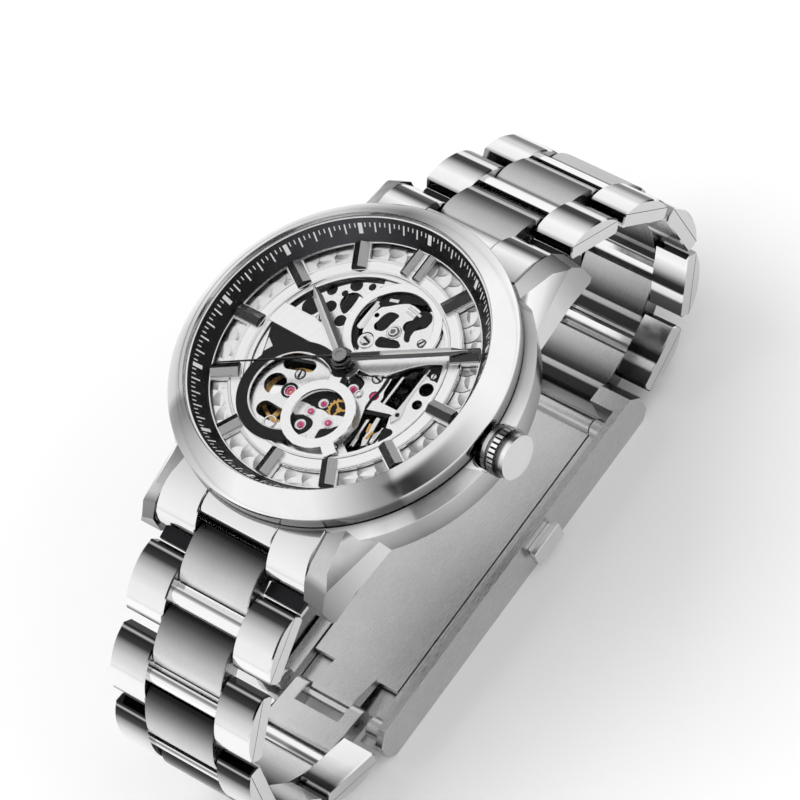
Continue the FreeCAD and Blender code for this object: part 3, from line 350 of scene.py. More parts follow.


# Painted reflections and shade by place: the light and dark bands that a soft studio would give
# each form of the polished steel, painted into its colour.
bezel_painted_light = (
    "clock", (0, 0.37), (0.03, 0.62), (0.06, 0.8), (0.1, 1.0), (0.22, 1.0), (0.26, 0.85),
    (0.31, 0.8), (0.338, 0.75), (0.344, 0.26), (0.362, 0.36), (0.39, 0.66), (0.42, 0.93),
    (0.5, 1.0), (0.53, 0.76), (0.57, 0.5), (0.6, 0.27), (0.618, 0.26), (0.63, 0.62), (0.7, 0.62),
    (0.75, 0.84), (0.82, 0.8), (0.86, 0.7), (0.9, 0.66), (0.94, 0.38), (0.97, 0.2), (1, 0.37))
# Painted shade: the bezel darker towards its bottom.
rim_painted_shade = ("rim", (0, 1.0), (0.52, 1.0), (0.55, 0.6), (0.6, 0.3), (0.9, 0.15), (1, 0.1))
flank_painted_light = (
    "drop", (0, 0.1), (0.03, 0.4), (0.12, 0.8), (0.29, 1.05), (0.34, 0.66), (0.7, 0.52), (1, 0.3))
round_painted_light = (
    "clock", (0, 0.5), (0.14, 0.45), (0.19, 0.6), (0.24, 1.0), (0.3, 0.95), (0.34, 0.7),
    (0.38, 1.05), (0.42, 0.55), (0.5, 0.6), (0.7, 0.7), (1, 0.5))
slant_painted_light = (
    "slant", (0, 0.35), (0.03, 0.5), (0.08, 1.1), (0.35, 0.95), (0.65, 0.45), (0.9, 0.07),
    (1, 0.04))
strip_painted_light = (
    "lengthwise", (0, 0.22), (0.03, 0.3), (0.05, 0.8), (0.1, 0.75), (0.16, 0.42), (0.86, 0.8),
    (0.92, 0.5), (0.97, 0.12), (1, 0.08))
lug_painted_light = (
    "lengthwise", (0, 0.35), (0.05, 0.58), (0.12, 0.85), (0.18, 1.0), (0.88, 0.95), (0.95, 0.6),
    (1, 0.5))
# Painted reflections and shade along each link, for the upper and the lower arm.
centre_upper = (
    "along", (0, 0.05), (0.02, 0.3), (0.05, 0.8), (0.12, 0.75), (0.3, 0.55), (0.45, 0.26),
    (0.58, 0.08), (0.66, 0.04), (0.68, 0.7), (0.75, 0.6), (0.78, 0.05), (1, 0.04))
centre_lower = (
    "along", (0, 0.04), (0.02, 0.08), (0.05, 1.1), (0.15, 1.0), (0.4, 0.75), (0.65, 0.36),
    (0.85, 0.1), (0.96, 0.02), (1, 0.02))
outer_upper = (
    "along", (0, 0.35), (0.05, 1.0), (0.2, 1.1), (0.36, 0.62), (0.46, 0.14), (0.5, 0.03),
    (0.6, 0.02), (0.63, 1.0), (0.72, 0.85), (0.76, 0.08), (1, 0.04))
outer_lower = (
    "along", (0, 0.06), (0.02, 0.3), (0.06, 1.05), (0.4, 1.0), (0.62, 0.72), (0.76, 0.36),
    (0.83, 0.05), (0.93, 0.02), (0.955, 0.6), (0.975, 0.04), (1, 0.02))
bar_painted_light = (
    "along", (0, 0.05), (0.385, 0.08), (0.405, 1.2), (0.52, 1.15), (0.55, 0.4), (0.575, 0.25),
    (0.59, 0.95), (0.605, 0.9), (0.62, 0.06), (1, 0.05))
end_painted_light = (
    "along", (0, 0.4), (0.2, 0.7), (0.45, 1.05), (0.55, 0.75), (0.62, 0.2), (0.66, 0.04),
    (0.8, 0.03), (0.83, 1.0), (0.92, 0.9), (0.97, 0.1), (1, 0.05))
crown_painted_light = (
    "crown", (0, 0.9), (0.12, 1.0), (0.16, 0.6), (0.19, 0.08), (0.22, 0.1), (0.25, 0.9),
    (0.31, 1.05), (0.37, 0.6), (0.42, 0.12), (0.5, 0.05), (0.75, 0.7), (1, 0.9))
reach_painted_light = (
    "reach", (0, 0.2), (0.17, 0.5), (0.305, 0.75), (0.32, 0.2), (0.42, 0.2), (0.44, 1.1),
    (0.64, 1.1), (0.67, 0.08), (0.79, 0.2), (0.86, 1.0), (1, 1.0))
# Painted reflection: the black chapter ring made grey towards the upper left.
chapter_painted_reflection = ("clock", (0, 1.0), (0.78, 1.0), (0.87, 7.0), (0.92, 9.0), (0.97, 3.0), (1, 1.0))

across_link = (60, 0.8, 0.8)
materials = {
    "polished": polished(0.76, 0.08),
    "case": polished(0.88, 0.12, flank_painted_light, round_painted_light),
    "lug_flank": polished(0.90, 0.3, slant_painted_light),
    "lug_strip": brushed(0.74, (50, 0.8, 0.8), strip_painted_light),
    "lug_bevel": polished(0.64, 0.18, lug_painted_light),
    "bezel": polished(0.92, 0.12, bezel_painted_light, rim_painted_shade),
    "centre_upper": brushed(0.72, across_link, centre_upper),
    "centre_lower": brushed(0.72, across_link, centre_lower),
    "outer_upper": polished(0.86, 0.10, outer_upper),
    "outer_lower": polished(0.86, 0.10, outer_lower),
    "end_link": polished(0.86, 0.10, end_painted_light),
    "link_side": polished(0.66, 0.16),
    "link_bar": polished(0.80, 0.12, bar_painted_light),
    "grain": brushed(0.66, across_link),
    "grain_y": brushed(0.56, (20, 0.8, 20)),
    "crown": polished(0.88, 0.12, crown_painted_light, reach_painted_light),
    "lathe": circular(0.62),
    "dial": circular(0.92, 16.0, 0.30),
    "plate": brushed(0.86, (3, 18, 3), roughness=0.25, depth=0.002),
    "bridge": brushed(0.66, (2, 14, 2), roughness=0.22, depth=0.002),
    "perlage": perlage(),
    "black": coated((0.010, 0.010, 0.011), 0.35, 0.004, 0.16),
    "chapter": coated((0.008, 0.008, 0.009), 0.35, 0.004, 0.16, chapter_painted_reflection),
    "print": coated((0.97, 0.97, 0.97), 0.5, 0.002),
    "lume": coated((0.62, 0.63, 0.60), 0.55),
    # Lit and shaded copies of one polished steel for the batons' two slopes: painted light and
    # shade.
    "marker_lit_slope": polished(0.36, 0.16),
    "marker_shaded_slope": polished(0.05, 0.2),
    "marker_edge": polished(0.8, 0.2),
    "hand": polished(0.28, 0.14),
    # Lit and shaded copies of one polished steel for the hands' two slopes: painted light and
    # shade; the dark copy also covers the hubs and the crown's knurl flanks.
    "hand_lit_slope": polished(0.52, 0.16),
    "hand_dark": polished(0.1, 0.18),
    "hand_thin": polished(0.06, 0.2),
    "barrel_steel": circular(0.20, 18.0, 0.25),
    "gilt": tinted_metal((0.70, 0.42, 0.14), 0.24),
    "spring": tinted_metal((0.33, 0.35, 0.42), 0.2),
    # Near black, used mostly as painted shade: plate walls, under the bridges, link gaps,
    # countersinks, cups and the end links' ledge.
    "dark": tinted_metal((0.022, 0.022, 0.024), 0.35),
    "works": tinted_metal((0.16, 0.16, 0.165), 0.3),
    "screw": polished(0.72, 0.10),
    "ruby": ruby(),
    "sapphire": sapphire(),
}
for name, material in materials.items():
    material.name = name


# ---- dressing CAD nodes ----
def add_object(name, data):
    obj = bpy.data.objects.new(name, data)
    bpy.context.scene.collection.objects.link(obj)
    return obj


def add_materials(obj, *names):
    for name in names:
        obj.data.materials.append(materials[name])


def dressed(node, name, bevel=0.06, angle=32, walls=None, inside=None, reform=None):
    """A finished copy of a CAD node, with its sharp edges softened, that stands for the node.

    Faces that stand upright can take the material walls, faces that look up the material inside.
    """
    source = nodes[node]
    mesh = source.data.copy()
    obj = add_object(node + "_finish", mesh)
    work = bmesh.new()
    work.from_mesh(mesh)
    bmesh.ops.remove_doubles(work, verts=work.verts, dist=0.002 * MM)
    flat = math.radians(1.5)
    bmesh.ops.dissolve_limit(work, angle_limit=flat, verts=work.verts, edges=work.edges)
    if reform:
        reform(work)
    mark_sharp(work, angle)
    work.to_mesh(mesh)
    work.free()
    mesh.materials.clear()
    add_materials(obj, name, *filter(None, (walls, inside)))
    for face in mesh.polygons:
        upright = walls and abs(face.normal.z) < 0.3
        face.material_index = 1 if upright or (inside and face.normal.z > 0.8) else 0
    soften(obj, bevel, angle)
    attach(obj, source["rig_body"])
    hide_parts(node)
    return obj


def mark_sharp(work, angle):
    """Smooth shading, but for edges steeper than the angle."""
    limit = math.radians(angle)
    for face in work.faces:
        face.smooth = True
    for edge in work.edges:
        edge.smooth = len(edge.link_faces) != 2 or edge.calc_face_angle(0.0) < limit


def soften(obj, bevel, angle):
    """Round the sharp edges and weight the normals by face area, so flat faces stay flat."""
    if bevel:
        tune(obj.modifiers.new("edges", "BEVEL"), width=bevel * MM, segments=2,
             limit_method="ANGLE", angle_limit=math.radians(angle), use_clamp_overlap=True,
             harden_normals=True)
    tune(obj.modifiers.new("normals", "WEIGHTED_NORMAL"), keep_sharp=True, weight=80)
    bpy.context.view_layer.update()
    graph = bpy.context.evaluated_depsgraph_get()
    final = bpy.data.meshes.new_from_object(obj.evaluated_get(graph))
    obj.modifiers.clear()
    obj.data = final


# ---- outlines ----
def around(centre, radius, angle):
    return (centre[0] + radius * math.cos(angle), centre[1] + radius * math.sin(angle))


def circle(at, radius, sides=28):
    return [around(at, radius, 2 * math.pi * i / sides) for i in range(sides)]


def polar(radius, clock_degrees):
    """A point on the dial at an angle clockwise from 12 o'clock."""
    return around((0, 0), radius, math.radians(90 - clock_degrees))


def turned(x, y, clock_degrees):
    """A point turned clockwise about the dial's centre."""
    a = math.radians(-clock_degrees)
    return (x * math.cos(a) - y * math.sin(a), x * math.sin(a) + y * math.cos(a))


def rounded(outline, cuts=2):
    """A closed outline with its corners drawn round, by cutting them again and again."""
    for _ in range(cuts):
        made = []
        for i, (x, y) in enumerate(outline):
            for px, py in (outline[i - 1], outline[(i + 1) % len(outline)]):
                made.append((x + (px - x) * 0.25, y + (py - y) * 0.25))
        outline = made
    return outline


# ---- new pieces ----
class Shape:
    """Mesh work in millimetres from the dial's centre, handed over as one piece."""

    def __init__(self, *names):
        self.names = names
        self.work = bmesh.new()

    def ring(self, points):
        return [self.work.verts.new(point) for point in points]

    def face(self, points, material=0):
        self.work.faces.new(self.ring(points)).material_index = material

    def loft(self, rows, kinds):
        """Flat faces between rows of points, and at both ends."""
        for a, b in zip(rows, rows[1:]):
            for i, kind in enumerate(kinds):
                j = (i + 1) % len(kinds)
                self.face([a[i], a[j], b[j], b[i]], kind)
        self.face(rows[0], kinds[-1])
        self.face(rows[-1][::-1], kinds[-1])

    def join(self, a, b, sides, material=0):
        """Faces between two rings that share their corners; a ring can be one point."""
        for i in range(sides):
            j = (i + 1) % sides
            quad = [a[i % len(a)], a[j % len(a)], b[j % len(b)], b[i % len(b)]]
            corners = [v for k, v in enumerate(quad) if v not in quad[:k]]
            if len(corners) > 2:
                self.work.faces.new(corners).material_index = material

    def prism(self, outline, z0, z1, bevel=0.03, material=0):
        """A plate with the (x, y) outline and a narrow chamfer round its top."""
        low, high = (self.ring((x, y, z) for x, y in outline) for z in (z0, z1))
        faces = [self.work.faces.new(low[::-1]), self.work.faces.new(high)]
        for i in range(len(outline)):
            faces.append(self.work.faces.new((low[i - 1], low[i], high[i], high[i - 1])))
        for made in faces:
            made.material_index = material
        self.work.normal_update()
        if faces[1].normal.z < 0:
            bmesh.ops.reverse_faces(self.work, faces=faces)
        if bevel:
            bmesh.ops.bevel(self.work, geom=list(faces[1].edges), offset=bevel, segments=1,
                            affect="EDGES", profile=0.5)

    def disc(self, at, radius, z0, z1, sides=28, bevel=0.04, material=0):
        self.prism(circle(at, radius, sides), z0, z1, bevel, material)

    def bar(self, p, q, width, z0, z1, bevel=0.03):
        """A flat bar from p to q."""
        dx, dy = q[0] - p[0], q[1] - p[1]
        share = width / 2 / math.hypot(dx, dy)
        nx, ny = -dy * share, dx * share
        self.prism([(p[0] - nx, p[1] - ny), (q[0] - nx, q[1] - ny), (q[0] + nx, q[1] + ny),
                    (p[0] + nx, p[1] + ny)], z0, z1, bevel)

    def lathe(self, profile, at=(0, 0), sides=48, kinds=None, base=(0, 0)):
        """Turn a closed profile of (radius, height) points, which start from base."""
        rings = []
        for radius, z in profile:
            radius, z = radius + base[0], z + base[1]
            points = circle(at, radius, sides) if radius else [at]
            rings.append(self.ring((x, y, z) for x, y in points))
        pairs = list(zip(rings, rings[1:]))
        if len(rings[0]) > 1:
            pairs.append((rings[-1], rings[0]))
        for k, (a, b) in enumerate(pairs):
            self.join(a, b, sides, kinds[k] if kinds else 0)

    def move(self, matrix):
        bmesh.ops.transform(self.work, matrix=matrix, verts=self.work.verts)

    def piece(self, name, slot, body="case", angle=35, lift=dial_height, instead=None):
        """Close the work and let it ride on a body, or stand for a node and ride on its body."""
        work = self.work
        bmesh.ops.recalc_face_normals(work, faces=work.faces)
        mark_sharp(work, angle)
        mesh = bpy.data.meshes.new(name)
        work.to_mesh(mesh)
        work.free()
        mesh.transform(Matrix.Scale(MM, 4) @ Matrix.Translation((0, 0, lift)))
        obj = add_object(name, mesh)
        add_materials(obj, *self.names)
        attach(obj, nodes[instead]["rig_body"] if instead else body)
        if instead:
            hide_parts(instead)


# ---- bracelet and case ----
half_pitch = 4.83
headings = (28, 31, 38, 48, 65, 84, 105, 125, 144, 161, 174)
first_hinge = (23.0, dial_height - 4.8)
centre_half = 5.0
side_gap = 0.12
centre_reach, outer_reach = 1.15, 1.68
half_turn = Matrix.Rotation(math.pi, 4, "Z")


def link_place(index):
    """From a link's own frame, at its first hinge, to its place in the upper arm."""
    y, z = first_hinge
    for heading in headings[:index]:
        y += half_pitch * math.cos(math.radians(heading))
        z -= half_pitch * math.sin(math.radians(heading))
    turn = Matrix.Rotation(math.radians(-headings[index]), 4, "X")
    return Matrix.Translation((0, y, z)) @ turn


def link_outline(start, end, low, high, power, bottom, foot, steps=18):
    """Domed top, highest in the middle, short ends and a flat underside."""
    middle, half = (start + end) / 2, (end - start) / 2
    line = []
    for i in range(steps + 1):
        u = -math.cos(math.pi * i / steps)
        line.append((middle + u * half, high - (high - low) * abs(u) ** power))
    return line + [(end, -foot), (end - 0.45, -bottom), (start + 0.45, -bottom), (start, -foot)]


def inset_outline(outline, amount):
    """The (y, z) outline drawn in by an amount, clockwise or not."""
    count = len(outline)
    area = sum(outline[i - 1][0] * outline[i][1] - outline[i][0] * outline[i - 1][1]
               for i in range(count))
    made = []
    for i, (y, z) in enumerate(outline):
        before, after = outline[i - 1], outline[(i + 1) % count]
        dy, dz = after[0] - before[0], after[1] - before[1]
        step = math.copysign(amount, area) / (math.hypot(dy, dz) or 1.0)
        made.append((y - dz * step, z + dy * step))
    return made


def profile_block(shape, outline, x0, x1, chamfer, material=0, ends=None, flare=0.0):
    """A block across the watch with the (y, z) outline and chamfered ends."""
    small = inset_outline(outline, chamfer)
    step = math.copysign(chamfer, x1 - x0)
    rings = []
    for x, line in ((x0, small), (x0 + step, outline), (x1 - step, outline), (x1, small)):
        lean = math.copysign(flare, x) if abs(x) > abs(x0) + chamfer * 1.5 else 0.0
        rings.append(shape.ring((x + lean * (y - 18), y, z) for y, z in line))
    for a, b in zip(rings, rings[1:]):
        shape.join(a, b, len(outline), material)
    for ring in (rings[0], rings[-1]):
        shape.work.faces.new(ring).material_index = material if ends is None else ends


def mark_along(shape, start, first, end, last):
    """Write how far along the piece each corner lies, from share first to share last."""
    layer = shape.work.loops.layers.uv.new("along")
    for face in shape.work.faces:
        for loop in face.loops:
            share = (loop.vert.co.y - start) / (end - start)
            loop[layer].uv = (0.0, first + (last - first) * share)


def build_centre_link(shape):
    outline = link_outline(-centre_reach, half_pitch + centre_reach, 0.15, 1.3, 3.0, 1.15, 0.4)
    profile_block(shape, outline, -centre_half, centre_half, 0.1)


def build_outer_link(shape, half):
    """Two side blocks, the bar that joins them and the pins through their ends."""
    inner = centre_half + side_gap
    outline = link_outline(-outer_reach, half_pitch + outer_reach, 0.2, 1.47, 2.5, 1.5, 0.9)
    for side in (-1, 1):
        profile_block(shape, outline, side * inner, side * half, 0.16, 0, 1)
    middle = half_pitch / 2
    bar = link_outline(middle - 0.86, middle + 0.86, 0.72, 0.98, 2.0, 0.98, 0.6)
    profile_block(shape, bar, -inner - 0.1, inner + 0.1, 0.02, 2)
    # The pins are near black: painted shade in the hinge gaps.
    for y in (0.0, half_pitch):
        pin = [around((y, 0), 0.48, a / 2) for a in range(12)]
        profile_block(shape, pin, -inner - 0.1, inner + 0.1, 0.02, 3)


def build_link(arm, index):
    """One link in its place: centre links are odd, the H-shaped outer links even."""
    node = "%s_link_%02d" % (arm, index + 1)
    if index % 2 == 0:
        shape, reach, slot = Shape("centre_" + arm), centre_reach, "link_brushed"
        build_centre_link(shape)
    else:
        shape, reach = Shape("outer_" + arm, "link_side", "link_bar", "dark"), outer_reach
        slot = "link_polished"
        build_outer_link(shape, (21.4 - 0.27 * index) / 2 - 0.01)
    first, last = (0.0, 1.0) if arm == "upper" else (1.0, 0.0)
    mark_along(shape, -reach, first, half_pitch + reach, last)
    place = link_place(index)
    shape.move(place if arm == "upper" else half_turn @ place)
    shape.piece(node + "_domed", slot, angle=30, lift=0, instead=node)


def build_end_links():
    """Domed fillers between the lugs, split by fine grooves from the strip in their middle, over a
    black ledge: painted shade in the gap to the first link.
    """
    start, end = 17.4, 23.95
    curve = [(start, -1.2), (19.6, -1.28), (20.6, -1.5), (21.5, -1.95), (22.3, -2.55),
             (23.0, -3.25), (23.5, -3.95), (23.82, -4.6), (end, -5.3), (23.9, -5.9),
             (23.5, -6.6), (22.8, -7.3), (start, -7.35)]
    middle = [(start, -1.3), (19.6, -1.36), (20.6, -1.58), (21.3, -1.95), (21.6, -2.4),
              (21.66, -3.2), (21.66, -6.8), (21.2, -7.3), (start, -7.35)]
    shade_ledge = [(23.0, -6.1), (25.2, -6.7), (25.15, -7.3), (22.8, -7.35)]
    for arm, first, last in (("upper", 0.0, 1.0), ("lower", 0.2, 0.5)):
        shape = Shape("end_link", "dark")
        for side in (-1, 1):
            profile_block(shape, curve, side * 5.16, side * 10.3, 0.12, flare=0.105)
            profile_block(shape, shade_ledge, side * 5.2, side * 10.2, 0.05, 1)
        profile_block(shape, middle, -5.06, 5.06, 0.08)
        mark_along(shape, start, first, end, last)
        if arm == "lower":
            shape.move(half_turn)
        shape.piece("end_link_domed_" + arm, "polished_steel", angle=30, instead="end_links")


def dress_bracelet():
    """New links, but for the last lower one, whose open pivot keeps its own form."""
    for arm, count in (("upper", 11), ("lower", 10)):
        for index in range(count):
            build_link(arm, index)
    dressed("lower_link_11", "grain", 0.12)
    build_end_links()
    for node, name, bevel in (
            ("clasp_cover", "grain_y", 0.18), ("clasp_outer_blade", "grain_y", 0.06),
            ("clasp_inner_blade", "grain_y", 0.06), ("push_button_right", "polished", 0.12),
            ("push_button_left", "polished", 0.12)):
        dressed(node, name, bevel)


def build_bezel():
    """The bezel turned smooth: lip, convex slope, step and undercut."""
    seat, lip, rim, skirt = 17.55, 3.2, 20.1, -0.6
    profile = [(17.75, -0.95), (seat, -0.9), (seat, lip - 0.12), (seat + 0.05, lip - 0.03),
               (seat + 0.14, lip), (seat + 0.38, lip), (seat + 0.5, lip - 0.05)]
    for i in range(1, 9):
        a = i / 8
        profile.append((seat + 0.5 + (rim - seat - 0.62) * a,
                        lip - 0.05 - (lip - 1.25) * (0.62 * a + 0.38 * a * a)))
    profile += [(rim - 0.03, 1.02), (rim, 0.9), (rim, skirt + 0.1), (rim - 0.05, skirt),
                (rim - 0.5, -0.9), (rim - 0.6, -0.95)]
    ring = Shape("bezel")
    ring.lathe(profile, sides=180)
    ring.piece("bezel_turned", "bezel_steel", angle=50, instead="bezel")


def lean_lugs(work):
    """Let the lugs' top strips slope outwards from their inner edges."""
    profile = ((13.0, -0.95), (21.0, -1.85), (23.1, -2.85), (24.3, -4.65), (25.0, -6.0))
    root, gap, fan, bezel_reach, fade = profile[0][0], 9.8, 0.105, 20.95, 2.5
    outwards, downwards = 0.29, 0.42
    for vert in work.verts:
        x, y, z = vert.co / MM
        across = abs(x) - gap - (abs(y) - root) * fan
        if across <= 0 or abs(y) < root:
            continue
        strip_z = next(z0 + (z1 - z0) * (abs(y) - y0) / (y1 - y0)
                       for (y0, z0), (y1, z1) in zip(profile, profile[1:]) if abs(y) <= y1)
        depth = strip_z + dial_height - z
        share = min(max(1.0 - depth / fade, 0.0), 1.0)
        share *= min(max(math.hypot(x, y) - bezel_reach, 0.0), 1.0)
        vert.co.x = math.copysign(abs(x) - outwards * across * share, x) * MM
        vert.co.z = (z - downwards * across * share) * MM


def dress_case():
    """Case and crown, with materials of their own on the lugs' faces and the crown's end, and
    painted shade on the flanks of the crown's knurl.
    """
    case = dressed("case_middle", "case", 0.16, 28, reform=lean_lugs)
    add_materials(case, "lug_flank", "lug_strip", "lug_bevel")
    for face in case.data.polygons:
        x, y = abs(face.center.x) / MM, abs(face.center.y) / MM
        lean = abs(face.normal.x)
        if y < 15.5 or x < 9.5 or math.hypot(x, y) < 20.7 or face.area < 0.4 * MM ** 2:
            continue
        if face.normal.z < 0.3 and lean > 0.3:
            face.material_index = 3
        elif lean > 0.62:
            face.material_index = 1
        elif face.normal.z > 0.05:
            face.material_index = 2
    build_bezel()
    dressed("case_back", "lathe", 0.10, 28)
    crown = dressed("crown", "crown", 0.05, 28)
    add_materials(crown, "link_side", "hand_dark")
    for face in crown.data.polygons:
        x, y, z = face.center / MM
        z -= dial_height + crown_axis
        outwards = (face.normal.y * y + face.normal.z * z) / max(math.hypot(y, z), 0.01)
        if face.normal.x > 0.9 and x > crown_end:
            face.material_index = 1
        # Flanks of the knurl: painted shade.
        elif abs(face.normal.x) < 0.3 and outwards < 0.93 and x < crown_end - 0.5:
            face.material_index = 2
    for node, name in (("crystal", "sapphire"), ("back_crystal", "sapphire"),
                       ("spring_bars", "screw"), ("winding_stem", "screw"),
                       ("setting_lever", "screw")):
        nodes[node].data.materials.clear()
        add_materials(nodes[node], name)


# ---- dial ----
def dress_dial():
    dressed("dial_small_ring", "dial", 0.05, walls="polished")
    dressed("chapter_ring", "chapter", 0)
    build_dial_plate()
    build_black_ring()
    build_markers()
    build_ticks()
    build_rail()
    build_perlage()


def build_dial_plate():
    """The open dial: rings, spokes, the barrel's ring and the arms, drawn to their real outline."""
    shape = Shape("dial", "polished")
    for inner, outer, top, at, sides in (
            (rail_inner, 13.5, 0.0, (0, 0), 140), (16.2, 18.15, 0.0, (0, 0), 140),
            (4.7, 5.75, -0.012, (2.1, 6.1), 96), (1.25, 1.9, -0.016, (0, 0), 60)):
        shape.lathe([(inner, dial_low), (inner, top - 0.05), (inner + 0.05, top),
                     (outer - 0.05, top), (outer, top - 0.05), (outer, dial_low)],
                    at, sides, (1, 1, 0, 1, 1, 0))
    for hour in range(12):
        shape.bar(polar(13.4, 30 * hour), polar(16.3, 30 * hour), 2.1, dial_low, -0.006, 0.04)
    left_arm = [(-11.85, 0.62), (-1.75, 0.35), (-1.3, 1.1), (-2.4, 2.1), (-6.9, 3.3), (-11.35, 3.3)]
    right_arm = [(1.1, 0.1), (3.2, 0.2), (5.2, 0.95), (7.0, 2.9), (8.6, 4.2), (10.2, 5.0),
                 (11.75, 4.4), (11.0, 6.0), (8.6, 6.6), (6.8, 4.6), (4.6, 2.6), (1.0, 1.5)]
    shape.prism(left_arm, dial_low, -0.008, 0.04)
    shape.prism(right_arm, dial_low, -0.02, 0.04)
    shape.piece("dial_open_plate", "dial_silver", angle=20, instead="dial_plate")


def ring_stop(centre, radius, other, reach, start, step):
    """Angle at which a ring's edge runs under another ring."""
    angle = start
    while math.dist(around(centre, radius, math.radians(angle)), other) >= reach:
        angle += step
    return angle


def build_black_ring():
    """The black ring round the balance, cut away under the small ring, and its black ground."""
    centre, inner, outer, steps = (-3.45, -5.6), 4.8, 6.3, 90
    small_ring, reach = (1.4, -6.6), 3.75
    shape = Shape("black", "polished")

    def edge(radius, inset, z):
        first = ring_stop(centre, radius, small_ring, reach, 60, -1)
        last = ring_stop(centre, radius, small_ring, reach, 120, 1)
        angles = (math.radians(first + (last - first) * i / steps) for i in range(steps + 1))
        return [(*around(centre, radius + inset, a), z) for a in angles]

    levels = (edge(inner, 0, 0.0), edge(inner, 0, 0.17), edge(inner, 0.07, 0.21),
              edge(inner, 0.14, 0.2), edge(outer, -0.05, 0.2), edge(outer, 0, 0.15),
              edge(outer, 0, 0.0))
    for a, b, kind in zip(levels, levels[1:], (1, 1, 1, 0, 0, 0)):
        for i in range(steps):
            shape.face([a[i], a[i + 1], b[i + 1], b[i]], kind)
    ground = [(-11.0, 0.55), (-1.95, 0.32), (-1.6, -0.5), (-2.2, -1.0), (-4.6, -0.55),
              (-7.0, -1.0), (-8.9, -2.8), (-9.4, -3.6), (-10.0, -1.9)]
    shape.prism(ground, -0.3, 0.012, 0)
    shape.prism([(-10.15, -1.15), (-9.0, -1.9), (-9.55, -2.9)], 0.0, 0.03, 0.01, 1)
    shape.piece("balance_ring", "dial_black", angle=30, instead="dial_black_ring")


def marker_solid(shape, clock, across, half, inner, outer, left):
    """A baton with a flat white foot and black ends; of its two polished slopes one is lit and one
    has painted shade, the left one if the last argument is 1.
    """
    edge, ridge, foot, inset = 0.33, 0.74, 0.07, 0.07

    def at(x, y, z=0.0):
        return (*turned(across + x, y, clock), z)

    side = half - inset
    low, high = ([at(-side, y), at(side, y), at(side, y, edge), at(0, y, ridge),
                  at(-side, y, edge)] for y in (inner + inset, outer - inset))
    for a, b, kind in ((3, 2, 1 - left), (4, 3, left), (2, 1, 0), (0, 4, 0)):
        shape.face([low[a], low[b], high[b], high[a]], kind)
    shape.face(low[::-1], 2)
    shape.face(high, 2)
    corners = ((-half, inner), (half, inner), (half, outer), (-half, outer))
    shape.prism([at(x, y)[:2] for x, y in corners], 0.0, foot, 0.0, 3)


def build_markers():
    shape = Shape("marker_lit_slope", "marker_shaded_slope", "black", "marker_edge")
    inner, outer = 12.1, 15.5
    for hour in range(1, 12):
        start = 12.85 if hour == 7 else inner
        # Painted shade on the right slope up to 8 o'clock, on the left slope from 9 to 12.
        marker_solid(shape, 30 * hour, 0, 0.9, start, outer, 0 if hour < 9 else 1)
    for side in (-1, 1):
        marker_solid(shape, 0, side * 0.85, 0.575, inner, outer, 1)
    shape.piece("hour_batons", "marker_steel", angle=20, instead="hour_markers")


def cone_point(share, lift, across, clock):
    """A place on the chapter ring's slope: share 0 is its inner edge, 1 its outer edge."""
    width = chapter_outer - chapter_inner
    slope = math.hypot(width, chapter_top)
    radius = chapter_inner + width * share - lift * chapter_top / slope
    return (*turned(across, radius, clock), chapter_top * share + lift * width / slope)


def build_ticks():
    """White blocks every five minutes, a long tick each minute and two short ones between."""
    shape = Shape("print")
    for step in range(180):
        if step % 15 == 0:
            low, half = 0.36, 0.25
        elif step % 3 == 0:
            low, half = 0.40, 0.085
        else:
            low, half = 0.62, 0.06
        corners = ((low, -half), (low, half), (0.8, half), (0.8, -half))
        bottom = [cone_point(share, -0.01, across, 2 * step) for share, across in corners]
        top = [cone_point(share, 0.03, across * 0.94, 2 * step) for share, across in corners]
        shape.face(bottom[::-1])
        shape.face(top)
        for i in range(4):
            shape.face([bottom[i - 1], bottom[i], top[i], top[i - 1]])
    shape.piece("minute_track", "chapter_black")


def build_rail():
    """The rail's stepped inner edge and the fine grooves along both of its edges."""
    edges, step, gutter = Shape("polished"), Shape("dial"), Shape("polished")
    start = (rail_inner, 0)
    edges.lathe([(0, 0), (0.05, 0.07), (0.28, 0.07), (0.33, 0)], sides=120, base=start)
    edges.lathe([(13.12, 0), (13.16, 0.05), (13.34, 0.05), (13.38, 0)], sides=120)
    edges.piece("rail_edges", "dial_silver")
    step.lathe([(-0.42, dial_low), (-0.42, -0.2), (-0.38, -0.16), (0.02, -0.16),
                (0.02, dial_low)], sides=120, base=start)
    step.piece("rail_step", "dial_silver")
    gutter.lathe([(15.45, 0.0), (15.5, 0.1), (15.62, 0.1), (15.7, 0.02), (15.72, 0.0)], sides=140)
    gutter.lathe([(17.3, 2.36), (17.28, 2.46), (17.44, 2.5), (17.5, 2.5), (17.5, 2.3)], sides=140)
    gutter.piece("chapter_edges", "polished_steel")


def build_perlage():
    """Two rows of overlapping turned discs on the plate inside the dial's windows."""
    shape = Shape("perlage")
    layer = shape.work.loops.layers.uv.new("spots")
    generator = random.Random(7)
    for radius, count, phase in ((15.5, 46, 0.0), (14.0, 42, 3.0)):
        for i in range(count):
            clock = 360.0 * i / count + phase
            size = 1.42 * generator.uniform(0.96, 1.04)
            z = plate_top + 0.02 + 0.006 * (i % 3)
            spot(shape, layer, polar(radius, clock), z, size, clock)
    shape.piece("plate_spots", "plate_rhodium")


